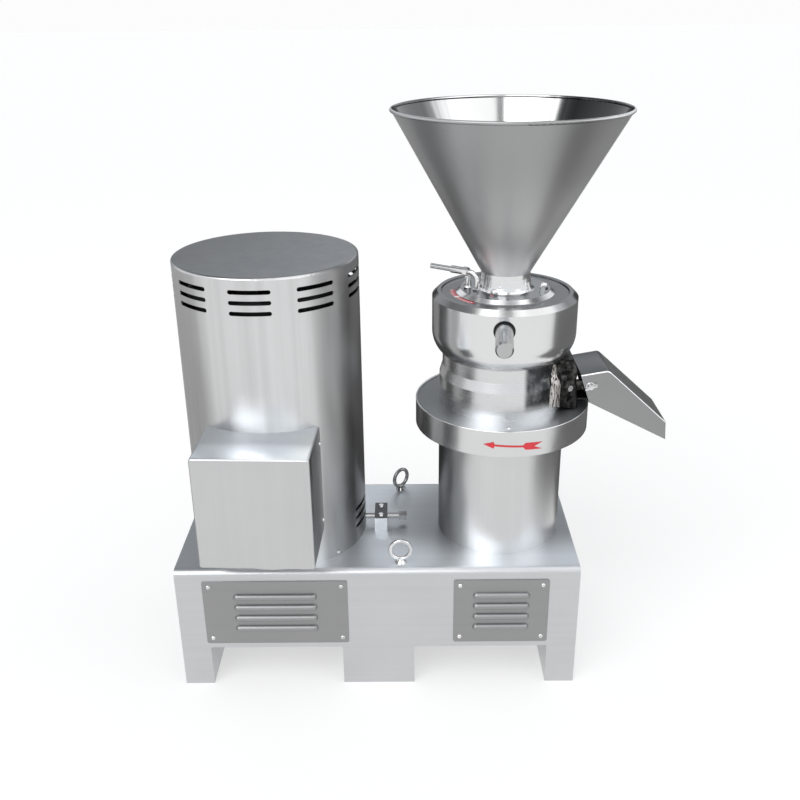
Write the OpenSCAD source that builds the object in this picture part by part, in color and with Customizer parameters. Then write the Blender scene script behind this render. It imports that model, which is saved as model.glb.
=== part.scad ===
// Colloid mill, split type: a belt-driven vertical motor beside the mill, on one folded base.
// Millimetres. +X runs from the motor to the mill, the front faces -Y, +Z is up.
// The origin is the middle of the base on the floor.

/* [Base] */
// Length of the base, left to right
base_l = 820; // [790:1:900]
// Width of the base, front to back
base_w = 370; // [365:1:420]
// Height of the base
base_h = 280; // [270:1:320]
// Sheet thickness of the base
base_t = 4; // [3:0.5:6]
// Outer bend radius of the top's front and back edges
base_bend = 14; // [10:1:20]
// Width of each end foot
foot_w = 60; // [50:1:75]
// Width of the centre leg
centre_leg_w = 149; // [120:1:170]
// Height of the openings between the legs
leg_h = 93; // [70:1:98]
// Corner radius of the openings between the legs
leg_r = 5; // [3:0.5:15]

/* [Layout] */
// Distance from the base's middle to the mill's axis
mill_x = 258; // [250:1:262]
// Distance between the motor's and the mill's axes
axis_gap = 466; // [460:1:472]

/* [Vent panels] */
// Thickness of the vent panels
panel_t = 2; // [1.5:0.5:4]
// Height of the vent panels
panel_h = 151; // [140:1:158]
// Height of the panels' lower edge above the floor
panel_z = 105; // [100:1:108]
// Width of the panel under the motor
left_panel_w = 295; // [270:1:305]
// Width of the panel under the mill
right_panel_w = 194; // [180:1:210]
// Offset of the right panel from the mill's axis
right_panel_dx = -6; // [-10:1:5]
// Length of the louvres in the left panel
left_louvre_l = 170; // [140:1:190]
// Length of the louvres in the right panel
right_louvre_l = 115; // [90:1:130]
// Number of louvres in a panel
louvre_n = 4; // [3:1:4]
// Distance between louvres
louvre_pitch = 25.5; // [22:0.5:28]
// Radius of a louvre's bulge
louvre_r = 8; // [6:0.5:10]
// Distance of the panel screws from the panel's edges
screw_inset = 13; // [10:0.5:15]
// Radius of the vent panels' corners
panel_corner = 5; // [2:0.5:8]

/* [Motor cover] */
// Outer radius of the motor cover
cover_r = 180; // [176:1:184]
// Sheet thickness of the covers
cover_t = 2; // [1.5:0.5:3]
// Height of the motor cover
cover_h = 605; // [590:1:640]
// Bend radius of the cover's top edge
cover_bend = 5; // [4:0.5:8]
// Turn of the cover about its axis
cover_turn = -2.4; // [-4:0.1:4]
// Number of vent groups around the cover
vent_n = 9; // [6:1:10]
// Arc of one vent slot in degrees
vent_arc = 25; // [18:1:28]
// Height of a vent slot
vent_h = 8; // [6:0.5:10]
// Distance between slot rows
vent_pitch = 20; // [16:0.5:24]
// Depth of the first slot row below the cover's top
vent_drop = 26; // [20:1:40]
// Height of the lowest slot row above the base
low_vent_z = 36; // [30:1:60]

/* [Terminal cover] */
// Width of the terminal cover
term_w = 219; // [200:1:230]
// Distance of the terminal cover's front from the motor's axis
term_front = 290; // [270:1:300]
// Height of the terminal cover's lower edge above the base
term_z = 74; // [60:1:90]
// Height of the terminal cover
term_h = 230; // [200:1:250]

/* [Motor] */
// Radius of the motor's sliding base plate
plate_r = 172; // [165:1:172]
// Thickness of the motor's base plate
plate_t = 16; // [12:1:18]
// Radius of the motor's flange
flange_r = 165; // [156:1:168]
// Thickness of the motor's flange
flange_t = 20; // [16:1:24]
// Radius of the motor's body under its fins
motor_r = 135; // [120:1:138]
// Height of a cooling fin
fin_h = 18; // [12:1:22]
// Number of cooling fins
fin_n = 28; // [20:2:32]
// Height of the motor's body
motor_h = 410; // [380:1:415]
// Radius of the motor's shaft
motor_shaft_r = 21; // [19:0.5:24]
// Height of the fan cowl
cowl_h = 118; // [105:1:125]
// Number of fan blades
blade_n = 8; // [6:1:10]
// Travel of the motor each way for tensioning the belts
tension_travel = 10; // [5:1:10]

/* [Belt drive] */
// Pulley radius
pulley_r = 75; // [65:1:80]
// Number of belts
belt_n = 3; // [2:1:3]
// Distance between belts
belt_pitch = 19; // [19:0.5:22]
// Width of a belt's outer face
belt_w = 16; // [14:0.5:17]
// Depth of a belt
belt_d = 10; // [8:0.5:11]
// Depth of the belts' mid height below the base's top
belt_drop = 123; // [115:1:128]

/* [Tension bolt] */
// Radius of the tension bolt
bolt_r = 6; // [5:0.5:7]
// Height of the bolt above the base's top
bolt_z = 18; // [17:0.5:20]
// Thread pitch of the tension bolt
bolt_pitch = 1.75; // [1.25:0.25:2]
// Bracket size along the bolt
bracket_l = 27; // [22:1:32]
// Bracket size across the bolt
bracket_w = 67; // [60:1:75]
// Bracket height
bracket_h = 31; // [29:1:38]
// Gap between the motor cover and the bracket
bracket_gap = 20; // [16:1:24]
// Length of the bolt's thread beyond the bracket
bolt_reach = 34; // [24:1:40]

/* [Eye bolts] */
// Mean radius of the eye
eye_r = 20.5; // [18:0.5:24]
// Radius of the eye's bar
eye_bar = 4; // [3.5:0.25:6]
// Position of the eye bolts along the base
eye_x = 48; // [44:1:60]
// Distance of the eye bolts from the base's front and back
eye_inset = 31; // [28:1:40]

/* [Mill column and tray] */
// How far the column stands out past the chamber's body
column_lip = 0.5; // [-3:0.5:4]
// Sheet thickness of the column
column_t = 3; // [2:0.5:4]
// Height of the tray's floor above the base
tray_rise = 292; // [280:1:310]
// Outer radius of the drip tray
tray_r = 176; // [172:1:180]
// Sheet thickness of the tray
tray_t = 3; // [2:0.5:4]
// Height of the tray's rim above its floor
rim_h = 7; // [6.5:0.5:9]
// Height of the tray's raised floor around the chamber
tray_step = 5; // [3:0.5:5.5]
// Depth of the tray's skirt
skirt_h = 52; // [45:1:60]

/* [Chamber] */
// Outer radius of the chamber's body
body_r = 127.5; // [126.5:0.5:129]
// Height of the chamber's body
body_h = 64; // [60:1:68]
// Height of the sloping shoulder between body and neck
shoulder_h = 20; // [15:1:25]
// Step from the chamber's body in to its neck
neck_step = 6; // [4.5:0.5:7.5]
// Height of the neck above the body
neck_h = 134; // [130:1:138]
// Radius of the chamber's bore
bore_r = 104; // [102:0.5:106]
// Thickness of the chamber's floor
floor_t = 12; // [10:1:14]

/* [Spindle] */
// Radius of the spindle in its bearings
spindle_r = 25; // [23:0.5:27]
// Radius of the spindle in the rotor
rotor_seat_r = 20; // [16:0.5:21]
// Outer radius of the ball bearings
bearing_r = 45; // [43:0.5:48]
// Width of the ball bearings
bearing_w = 20; // [18:0.5:22]
// Number of balls in a bearing
ball_n = 10; // [8:1:11]
// Outer radius of the bearing housing
housing_r = 70; // [66:1:74]

/* [Rotor and stator] */
// Rotor radius at the top of the cone
cone_top_r = 65; // [60:0.5:68]
// Rotor radius at the foot of the cone
cone_low_r = 83; // [78:0.5:85]
// Height of the grinding cone
cone_h = 70; // [66:1:74]
// Radial gap between rotor and stator
grind_gap = 0.7; // [0.6:0.1:1.5]
// Number of coarse teeth
coarse_n = 18; // [12:2:24]
// Number of fine teeth
fine_n = 36; // [24:4:48]
// Slant of the teeth in degrees
tooth_slant = 12; // [5:1:18]
// Depth of the coarse grooves
groove_d = 5; // [3:0.5:6]

/* [Adjusting ring] */
// Outer radius of the adjusting ring
ring_r = 143; // [140:1:147]
// Height of the ring's lower edge above the tray's floor
ring_z = 110; // [106:1:114]
// Height of the ring's rounded lower part
ring_skirt = 45; // [38:1:50]
// Height of the ring's upright wall
ring_wall = 70; // [64:1:74]
// Bevel of the ring's top edge
ring_bevel = 10; // [7:1:12]
// Pitch of the adjusting thread
ring_pitch = 3; // [2:0.5:3]
// Turn of the handles from the front
handle_turn = -5.6; // [-20:0.1:20]
// Radius of a handle
handle_r = 16.5; // [12:0.5:17]
// Length of a handle outside the ring
handle_l = 102; // [80:1:115]
// Radius of the recess around a handle's foot
socket_r = 20.5; // [18.5:0.5:22]

/* [Hopper] */
// Rim radius of the hopper
hopper_r = 220; // [200:1:240]
// Height of the hopper's cone
hopper_h = 303; // [270:1:330]
// Outer radius of the hopper's outlet
outlet_r = 48; // [46:0.5:50]
// Radius of the feed bore
feed_r = 44; // [40:0.5:45]
// Sheet thickness of the hopper
hopper_t = 2; // [1.5:0.25:2.5]
// Radius of the rolled rim
bead_r = 3.5; // [3:0.25:5]
// Height of the flared collar
collar_h = 34; // [28:1:40]
// Foot radius of the flared collar
collar_foot_r = 57; // [54:0.5:60]
// Foot radius of the bevelled flange
disc_r = 97; // [94:1:99]
// Thickness of the bevelled flange
disc_t = 7.5; // [6:0.5:9]
// Bevel of the flange's edge, measured inwards
disc_bevel = 9; // [6:0.5:10]
// Outer radius of the scale plate
scale_r = 124; // [122:0.5:125]
// Thickness of the scale plate
scale_t = 4; // [3:0.5:5]
// Radius of the circle of acorn nuts
nut_circle = 77; // [74:0.5:80]
// Turn of the first acorn nut from the front
nut_turn = 69; // [60:1:75]

/* [Water fittings] */
// Distance of the water inlet from the mill's axis
inlet_r = 71; // [69:0.5:72]
// Turn of the water inlet from the front
inlet_turn = -56; // [-60:1:-52]
// Direction of the hose tail, seen from above
inlet_aim = 146; // [130:1:160]
// Radius of the hose tail
tail_r = 5; // [4:0.25:6]
// Length of the hose tail
tail_l = 44; // [18:1:50]
// Turn of the water outlet from the front
outlet_turn = -76; // [-84:1:-74]

/* [Discharge] */
// Distance of the spout's end from the chamber's wall
spout_reach = 10.5; // [7:0.5:12.5]
// Half width of the spout's end
spout_w = 61; // [60:0.5:64]
// Half width of the spout's foot at the chamber
spout_foot_w = 91; // [86:1:96]
// Width of the chute
chute_w = 118; // [114:1:124]
// Sheet thickness of the chute
chute_t = 2; // [1.5:0.5:2.5]
// Start of the chute's roof, measured from the spout's end
chute_near = 11; // [9:1:14]
// Ridge of the chute's roof, measured from the spout's end
chute_bend = 66; // [60:1:77]
// End of the chute, measured from the spout's end
chute_far = 191; // [172:1:207]
// Height of the roof's start above the tray's floor
chute_roof_z = 75; // [74:0.5:78]
// Height of the ridge above the tray's floor
chute_ridge_z = 84.5; // [80:0.5:90]
// Height of the outlet's upper edge above the tray's floor
chute_top_z = -27; // [-40:1:-15]
// Height of the outlet's lower edge above the tray's floor
chute_low_z = -67; // [-85:1:-60]
// Distance of the pivot from the spout's end
pivot_reach = 31; // [29:1:34]
// Height of the pivot above the tray's floor
pivot_z = 53; // [52:0.5:54]
// Height of the chute's foot above the tray's floor
chute_foot_z = 16; // [15:0.5:18]
// Radius of the wing bolts
wing_bolt_r = 4; // [3:0.5:5]

/* [Hidden] */
$fn = 64;
steel = "silver";
dark = "dimgray";
fit = 0.4;            // gap between pieces that move past each other
seat = 0.05;          // gap of a piece in its seat, and of a shaft in its bearing
over = 1;             // how far a cutter runs past a face
motor_x = mill_x - axis_gap;
tray_z = base_h + tray_rise;
column_r = body_r + column_lip;
neck_r = body_r - neck_step;
tray_under = tray_z - tray_t;
neck_top = tray_z + body_h + neck_h;
body_top = tray_z + body_h;
ring_low = tray_z + ring_z;
wall_low = ring_low + ring_skirt;
wall_top = wall_low + ring_wall;
ring_top = wall_top + ring_bevel;
ring_bore = neck_r + fit;
skirt_in = ring_r - ring_bore - 0.2;
skirt_arc = (ring_skirt * ring_skirt + skirt_in * skirt_in) / (2 * skirt_in);
scale_gap = 1.5;      // groove between the scale plate and the ring
plate_z = ring_top - 7;
carrier_low = neck_top + 2;
thread_r = bore_r + 8;
disc_z = plate_z + scale_t;
disc_top = disc_z + disc_t;
hopper_z = disc_top + collar_h;
hopper_top = hopper_z + hopper_h;
pocket_r = cone_low_r + 9;
cone_low = neck_top - 78;
cone_top = cone_low + cone_h;
stator_drop = 0.8;    // lowest travel of the stator
rotor_gap = 3;        // clearance over the rotor's top, more than the stator's travel
rotor_top = cone_top - rotor_gap;
rotor_top_r = cone_top_r + (cone_low_r - cone_top_r) * rotor_gap / cone_h;
vane_t = 8;           // thickness of the paddle vanes under the rotor
vane_h = 40;          // height of the paddle vanes
belt_z = base_h - belt_drop;
pulley_h = belt_n * belt_pitch + 6;
belt_in = pulley_r - belt_d - 1;
groove_side = 3;      // narrowing of a belt's section to its inner face
tap = 4;              // shank radius of the acorn nuts' studs
screw_r = 2.5;
screw_head = 4.5;
window_lap = 16;      // how far a vent panel overlaps its window
end_gap = 16;
housing_low = base_h - 30;
lower_bearing_z = housing_low;
upper_bearing_z = tray_under - 6 - bearing_w;
ball_circle = (bearing_r + spindle_r) / 2;
ball_r = (bearing_r - spindle_r) * 0.27;
race_w = (bearing_r - spindle_r) * 0.3;
cover_in = cover_r - cover_t;
lug_x = plate_r - 24;
lug_half = 15;
bracket_x = motor_x + cover_r + bracket_gap;
bolt_end = bracket_x + bracket_l + bolt_reach;
eye_y = base_w / 2 - eye_inset;
hex_head = 8;
hex_nut = 9;
hex_r = bolt_r * 1.83;
motor_low = base_h + plate_t + flange_t;
motor_top = motor_low + motor_h;
cowl_lap = 10;        // how far the cowl laps over the motor's end
fan_z = motor_top + 22;
fan_h = 45;
box_w = term_w * 0.64;  // width of the terminal box
box_in = 50;            // distance of the terminal box from its cover
box_gap = 5;            // gap round the terminal box where it passes the drum
spout_x = body_r + spout_reach;
pivot_x = spout_x + pivot_reach;
chute_x0 = spout_x + chute_near;
chute_x1 = spout_x + chute_bend;
chute_x2 = spout_x + chute_far;
spout_foot = tray_z + tray_step + 1;
spout_floor = tray_z + 23;
spout_roof = body_top - 4;
lug_w = chute_w / 2 - chute_t - 0.5;
lug_t = 6.5;
tongue_x = pivot_x + 7;
window_r = spout_w - 7;

// Plane helpers: shift a line to its left, and find where two lines meet
function unit(v) = v / norm(v);
function shift_line(a, b, d) = let (n = unit([a.y - b.y, b.x - a.x])) [a + d * n, b + d * n];
function meet(p, q) = let (r = p[1] - p[0], s = q[1] - q[0]) p[0] + r * cross(q[0] - p[0], s) / cross(r, s);

// Plane outlines and round shapes used by several pieces
module rounded_plate(w, h, r) {
    translate([-w / 2, r]) square([w, h - 2 * r]);
    translate([-w / 2 + r, 0]) square([w - 2 * r, h]);
    for (sx = [-1, 1], z = [r, h - r]) translate([sx * (w / 2 - r), z]) circle(r);
}
module rounded_top(w, h, r) {
    translate([-w / 2, 0]) square([w, h - r]);
    translate([-w / 2 + r, 0]) square([w - 2 * r, h]);
    for (s = [-1, 1]) translate([s * (w / 2 - r), h - r]) circle(r);
}
module tube(r_out, r_in, h) {
    difference() {
        cylinder(h = h, r = r_out);
        translate([0, 0, -over]) cylinder(h = h + 2 * over, r = r_in);
    }
}
module drum_outline(r, h, bend) {
    square([r - bend, h]);
    square([r, h - bend]);
    translate([r - bend, h - bend]) circle(bend);
}
module along_x(l) { rotate([90, 0, 90]) linear_extrude(height = l, center = true) children(); }
module along_y(l) { rotate([90, 0, 0]) linear_extrude(height = l, center = true) children(); }
module at_mill() { translate([mill_x, 0, 0]) children(); }
module at_motor() { translate([motor_x, 0, 0]) children(); }
// Places a child at an angle from the front, at a distance from the axis
module around(a, r) { rotate([0, 0, a - 90]) translate([r, 0, 0]) children(); }
module pan_screw(head_r, shank_r, l) {
    cylinder(h = head_r * 0.5, r1 = head_r, r2 = head_r * 0.75);
    translate([0, 0, -l]) cylinder(h = l, r = shank_r);
}
module hex_prism(r, h) { cylinder(h = h, r = r, $fn = 6); }

// Base: one folded sheet with three legs front and back
module leg_opening(x0, x1) {
    translate([(x0 + x1) / 2, 0, -over]) along_y(base_w + 2 * over)
        rounded_top(x1 - x0, leg_h + over, leg_r);
}
module vent_window(x, w) {
    translate([x - w / 2 + window_lap, -base_w / 2 - over, panel_z + window_lap])
        cube([w - 2 * window_lap, base_t + 2 * over, panel_h - 2 * window_lap]);
}
module panel_holes(x, w, r) {
    for (sx = [-1, 1], sz = [0, 1])
        translate([x + sx * (w / 2 - screw_inset), 0, panel_z + screw_inset + sz * (panel_h - 2 * screw_inset)])
            rotate([90, 0, 0]) cylinder(h = base_w, r = r);
}
right_panel_x = mill_x + right_panel_dx;
slot_r = motor_shaft_r + 24;
module base_frame() color(steel) difference() {
    along_x(base_l) difference() {
        rounded_top(base_w, base_h, base_bend);
        translate([0, -over]) rounded_top(base_w - 2 * base_t, base_h - base_t + over, base_bend - base_t);
    }
    leg_opening(-base_l / 2 + foot_w, -centre_leg_w / 2);
    leg_opening(centre_leg_w / 2, base_l / 2 - foot_w);
    vent_window(motor_x, left_panel_w);
    vent_window(right_panel_x, right_panel_w);
    panel_holes(motor_x, left_panel_w, screw_r + seat);
    panel_holes(right_panel_x, right_panel_w, screw_r + seat);
    at_mill() translate([0, 0, base_h / 2]) cylinder(h = base_h, r = housing_r + fit);
    translate([motor_x, 0, base_h / 2]) {
        for (s = [-1, 1]) translate([s * tension_travel, 0, 0]) cylinder(h = base_h, r = slot_r);
        translate([-tension_travel, -slot_r, 0]) cube([2 * tension_travel, 2 * slot_r, base_h]);
    }
    for (y = [-eye_y, eye_y]) translate([eye_x, y, base_h / 2]) cylinder(h = base_h, r = eye_bar + 1 + seat);
    bracket_holes(base_h / 2, base_h);
}
module end_panel(s) color(steel)
    translate([s * (base_l / 2 - base_t / 2), 0, 0]) along_x(base_t)
        rounded_top(base_w - 2 * base_t, base_h - base_t, end_gap);
module end_panel_left() end_panel(-1);
module end_panel_right() end_panel(1);
module leg_channel(x0, x1) {
    difference() {
        translate([x0, -base_w / 2 + base_t, 0]) cube([x1 - x0, base_w - 2 * base_t, leg_h + base_t]);
        translate([x0 + base_t, -base_w / 2, base_t]) cube([x1 - x0 - 2 * base_t, base_w, leg_h + base_t]);
    }
}
module leg_channels() color(steel) {
    leg_channel(-base_l / 2 + base_t, -base_l / 2 + foot_w);
    leg_channel(-centre_leg_w / 2, centre_leg_w / 2);
    leg_channel(base_l / 2 - foot_w, base_l / 2 - base_t);
}

// Vent panels: flat plates with rows of pressed louvres that open downwards
module capsule(l, r) {
    rotate([0, 90, 0]) rotate_extrude() intersection() {
        union() {
            translate([-r, r - l / 2]) square([2 * r, l - 2 * r]);
            for (s = [-1, 1]) translate([0, s * (l / 2 - r)]) circle(r);
        }
        translate([0, -l]) square([2 * r, 2 * l]);
    }
}
module vent_panel(x, w, l) color(steel) {
    face_y = -base_w / 2 - panel_t;
    wall = panel_t * 0.75;
    mid_z = panel_z + panel_h / 2;
    difference() {
        union() {
            translate([x, face_y + panel_t, panel_z]) rotate([90, 0, 0]) linear_extrude(height = panel_t)
                rounded_plate(w, panel_h, panel_corner);
            for (i = [0 : louvre_n - 1])
                translate([x, face_y + panel_t / 2, mid_z + (i - (louvre_n - 1) / 2) * louvre_pitch])
                    difference() {
                        capsule(l, louvre_r);
                        translate([-l, 0, -louvre_r * 2]) cube([2 * l, 2 * louvre_r, 4 * louvre_r]);
                    }
        }
        for (i = [0 : louvre_n - 1])
            translate([x, face_y + panel_t / 2, mid_z + (i - (louvre_n - 1) / 2) * louvre_pitch]) {
                capsule(l - 2 * wall, louvre_r - wall);
                translate([-l, -2 * louvre_r, -2 * louvre_r]) cube([2 * l, 2 * louvre_r - panel_t / 2, 1.4 * louvre_r]);
            }
        panel_holes(x, w, screw_r + seat);
    }
}
module vent_panel_left() vent_panel(motor_x, left_panel_w, left_louvre_l);
module vent_panel_right() vent_panel(right_panel_x, right_panel_w, right_louvre_l);
module panel_screw_set(x, w) {
    for (sx = [-1, 1], sz = [0, 1])
        translate([x + sx * (w / 2 - screw_inset), -base_w / 2 - panel_t,
                panel_z + screw_inset + sz * (panel_h - 2 * screw_inset)])
            rotate([90, 0, 0]) pan_screw(screw_head, screw_r, panel_t + base_t + 2);
}
module panel_screws() color(steel) {
    panel_screw_set(motor_x, left_panel_w);
    panel_screw_set(right_panel_x, right_panel_w);
}

// Lifting eyes on the base's top
module eye_bolt(y, turn) color(steel) translate([eye_x, y, base_h]) rotate([0, 0, turn]) {
    collar = eye_bar + 2;
    translate([0, 0, collar + eye_r + eye_bar / 2]) rotate([90, 0, 0])
        rotate_extrude() translate([eye_r, 0]) circle(eye_bar);
    cylinder(h = collar, r1 = 3 * eye_bar, r2 = 2 * eye_bar);
    cylinder(h = collar + eye_bar, r = 1.5 * eye_bar);
    translate([0, 0, -base_t - 8]) cylinder(h = base_t + 8, r = eye_bar + 1);
}
module eye_bolt_front() eye_bolt(-eye_y, 0);
module eye_bolt_rear() eye_bolt(eye_y, 45);

// Belt tensioner: a block on the base, and a bolt that draws the motor's plate
module bracket_holes(z, h) {
    for (s = [-1, 1]) translate([bracket_x + bracket_l / 2, s * bracket_w * 0.29, z])
        cylinder(h = h, r = screw_r + 1 + seat);
}
module tension_bracket() color(steel) difference() {
    translate([bracket_x, -bracket_w / 2, base_h]) cube([bracket_l, bracket_w, bracket_h]);
    translate([bracket_x - over, 0, base_h + bolt_z]) rotate([0, 90, 0])
        cylinder(h = bracket_l + 2 * over, r = bolt_r + fit);
    bracket_holes(base_h - over, bracket_h + 2 * over);
}
module bracket_screws() color(steel)
    for (s = [-1, 1]) translate([bracket_x + bracket_l / 2, s * bracket_w * 0.29, base_h + bracket_h])
        pan_screw(screw_head + 2, screw_r + 1, bracket_h + base_t);
module tension_bolt() color(steel) translate([motor_x + lug_x + 6, 0, base_h + bolt_z]) rotate([0, 90, 0]) {
    l = bolt_end - motor_x - lug_x - 6;
    cylinder(h = l, r = bolt_r);
    translate([0, 0, l]) hex_prism(hex_r, hex_head);
}
module tension_nut() color(steel) translate([bolt_end - hex_nut - 0.2, 0, base_h + bolt_z]) rotate([0, 90, 0])
    difference() {
        hex_prism(hex_r, hex_nut);
        translate([0, 0, -over]) cylinder(h = hex_nut + 2 * over, r = bolt_r + seat);
    }

// Mill column, tray and chamber
module column_shell() color(steel) at_mill() translate([0, 0, base_h])
    tube(column_r, column_r - column_t, tray_under - base_h);
module drip_tray() color(steel) at_mill() difference() {
    translate([0, 0, tray_z + rim_h - skirt_h]) union() {
        tube(tray_r, tray_r - tray_t, skirt_h);
        translate([0, 0, skirt_h - rim_h - tray_t]) cylinder(h = tray_t + tray_step, r = tray_r - tray_t / 2);
    }
    translate([0, 0, tray_z]) cylinder(h = body_h, r = body_r + seat);
    translate([0, 0, tray_under - over]) cylinder(h = tray_t + 2 * over, r = bearing_r + seat);
    around(0, (body_r + tray_r) / 2) translate([0, 0, tray_under - over])
        cylinder(h = tray_t + tray_step + 2 * over, r = screw_r + seat);
}
module grinding_chamber() color(steel) at_mill() difference() {
    union() {
        translate([0, 0, tray_z]) cylinder(h = body_h, r = body_r);
        translate([0, 0, body_top]) cylinder(h = shoulder_h, r1 = body_r, r2 = neck_r);
        translate([0, 0, tray_z]) cylinder(h = body_h + neck_h, r = neck_r);
    }
    translate([0, 0, tray_z + floor_t]) cylinder(h = body_h + neck_h, r = bore_r);
    translate([0, 0, tray_z - over]) cylinder(h = floor_t + 2 * over, r = bearing_r + seat);
    translate([0, -window_r, spout_floor]) cube([2 * body_r, 2 * window_r, spout_roof - spout_floor]);
}
module shaft_seal() color(dark) at_mill() translate([0, 0, tray_under])
    tube(bearing_r, spindle_r + 0.3, tray_t + floor_t + 4);

// Discharge spout: a cast snout bolted to the chamber, with lugs for the chute
module spout_plan(foot_w, end_w, x) {
    polygon([[bore_r * 0.6, -foot_w * 1.18], [x, -end_w], [x, end_w], [bore_r * 0.6, foot_w * 1.18]]);
}
module chamber_round(gap) {
    cylinder(h = body_top, r = body_r + gap);
    translate([0, 0, body_top]) cylinder(h = shoulder_h, r1 = body_r + gap, r2 = neck_r + gap);
    cylinder(h = ring_top, r = neck_r + gap);
}
module spout_flange() {
    flange_t = 8;
    half_low = spout_foot_w + 6;
    half_top = spout_w - 6;
    intersection() {
        union() chamber_round(flange_t);
        rotate([90, 0, 90]) linear_extrude(height = 2 * body_r)
            polygon([[-half_low, spout_foot], [half_low, spout_foot], [half_low, spout_floor],
                [half_top, ring_low - 1.5], [-half_top, ring_low - 1.5], [-half_low, spout_floor]]);
    }
}
module discharge_spout() color(dark) at_mill() difference() {
    union() {
        spout_flange();
        intersection() {
            linear_extrude(height = ring_top) spout_plan(spout_foot_w, spout_w, spout_x);
            along_y(4 * spout_foot_w) polygon([[bore_r * 0.6, spout_foot], [spout_x, spout_foot],
                [spout_x, pivot_z + tray_z + 15], [spout_x - 10, ring_low - 4], [bore_r * 0.6, ring_low - 4]]);
        }
        for (s = [-1, 1]) spout_lug(s);
        translate([spout_x - 10, -lug_w + lug_t, spout_floor - 3])
            cube([tongue_x - spout_x + 10, 2 * (lug_w - lug_t), 3]);
    }
    chamber_round(seat);
    translate([0, -window_r, spout_floor]) cube([spout_x + over, 2 * window_r, spout_roof - spout_floor]);
    for (s = [-1, 1]) spout_screw_place(s) translate([0, 0, -14]) cylinder(h = 20, r = screw_r + 1 + seat);
    translate([pivot_x, chute_w, tray_z + pivot_z]) rotate([90, 0, 0])
        cylinder(h = 2 * chute_w, r = wing_bolt_r + seat);
}
lug_h = 18;
module spout_lug(s) {
    translate([spout_x - 10, s * (lug_w - lug_t / 2) - lug_t / 2, tray_z + pivot_z - lug_h / 2])
        cube([pivot_x - spout_x + 10, lug_t, lug_h]);
    translate([pivot_x, s * (lug_w - lug_t / 2), tray_z + pivot_z]) rotate([90, 0, 0])
        cylinder(h = lug_t, r = lug_h / 2, center = true);
}
// Side wall direction of the spout, used to set its bolts square to the wall
wall_a = atan2(spout_foot_w * 1.18 - spout_w, spout_x - bore_r * 0.6);
module spout_screw_place(s) {
    translate([spout_x, s * spout_w, tray_z + pivot_z]) rotate([0, 0, -s * wall_a])
        translate([-15, 0, 0]) rotate([-s * 90, 0, 0]) children();
}
module chamber_screws() color(steel) at_mill() {
    for (s = [-1, 1]) spout_screw_place(s) {
        hex_prism(7, 5);
        translate([0, 0, -12]) cylinder(h = 12, r = screw_r + 1);
    }
    around(0, (body_r + tray_r) / 2) translate([0, 0, tray_z + tray_step])
        pan_screw(screw_head, screw_r, tray_step + tray_t + 3);
}
module wing_bolts() color(steel) at_mill() for (s = [-1, 1])
    translate([pivot_x, s * (lug_w - lug_t), tray_z + pivot_z]) rotate([-s * 90, 0, 0]) {
        cylinder(h = lug_t + chute_t + 14, r = wing_bolt_r);
        translate([0, 0, -3]) cylinder(h = 3, r = wing_bolt_r * 2);
    }
module wing_nuts() color(steel) at_mill() for (s = [-1, 1])
    translate([pivot_x, s * (chute_w / 2 + 0.3), tray_z + pivot_z]) rotate([-s * 90, 0, 0])
        difference() {
            union() {
                cylinder(h = 1.5, r = wing_bolt_r * 2.2);
                cylinder(h = 9, r1 = wing_bolt_r * 1.8, r2 = wing_bolt_r * 1.4);
                for (a = [20, 200]) rotate([0, 0, a]) translate([wing_bolt_r * 2, 0, 8])
                    rotate([90, 0, 0]) cylinder(h = 3, r = wing_bolt_r * 1.6, center = true);
            }
            translate([0, 0, -over]) cylinder(h = 20, r = wing_bolt_r + seat);
        }

// Discharge chute: a closed sheet-metal duct that hangs on the wing bolts
chute_outline = [[pivot_x, chute_foot_z], [chute_x2, chute_low_z], [chute_x2 - 3, chute_top_z],
    [chute_x1, chute_ridge_z], [chute_x0, chute_roof_z]];
chute_floor = shift_line(chute_outline[0], chute_outline[1], chute_t);
chute_slope = shift_line(chute_outline[2], chute_outline[3], chute_t);
chute_roof = shift_line(chute_outline[3], chute_outline[4], chute_t);
chute_in = shift_line(chute_outline[4], chute_outline[0], -3 * over);
chute_out = shift_line(chute_outline[1], chute_outline[2], -3 * over);
module discharge_chute() color(steel) at_mill() translate([0, 0, tray_z]) difference() {
    along_y(chute_w) polygon(chute_outline);
    along_y(chute_w - 2 * chute_t) polygon([meet(chute_in, chute_floor), meet(chute_floor, chute_out),
        meet(chute_out, chute_slope), meet(chute_slope, chute_roof), meet(chute_roof, chute_in)]);
    translate([pivot_x, chute_w, pivot_z]) rotate([90, 0, 0]) cylinder(h = 2 * chute_w, r = wing_bolt_r + fit);
}

// Bearing housing and the two ball bearings
module bearing_housing() color(dark) at_mill() difference() {
    union() {
        translate([0, 0, housing_low]) cylinder(h = tray_under - housing_low, r = housing_r);
        translate([0, 0, base_h]) cylinder(h = base_t * 4, r = housing_r + 30);
        translate([0, 0, tray_under - base_t * 4]) cylinder(h = base_t * 4, r = housing_r + 30);
    }
    translate([0, 0, housing_low - over]) cylinder(h = tray_under, r = spindle_r + 3);
    translate([0, 0, housing_low - over]) cylinder(h = bearing_w + over, r = bearing_r + seat);
    translate([0, 0, upper_bearing_z]) cylinder(h = tray_rise, r = bearing_r + seat);
}
module outer_ring(z) color(steel) at_mill() translate([0, 0, z]) difference() {
    tube(bearing_r, bearing_r - race_w, bearing_w);
    ball_track(ball_r + 0.3);
}
module inner_ring(z) color(steel) at_mill() translate([0, 0, z]) difference() {
    tube(spindle_r + race_w, spindle_r + seat, bearing_w);
    ball_track(ball_r + 0.3);
}
module ball_track(r) {
    translate([0, 0, bearing_w / 2]) rotate_extrude() translate([ball_circle, 0]) circle(r);
}
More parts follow.
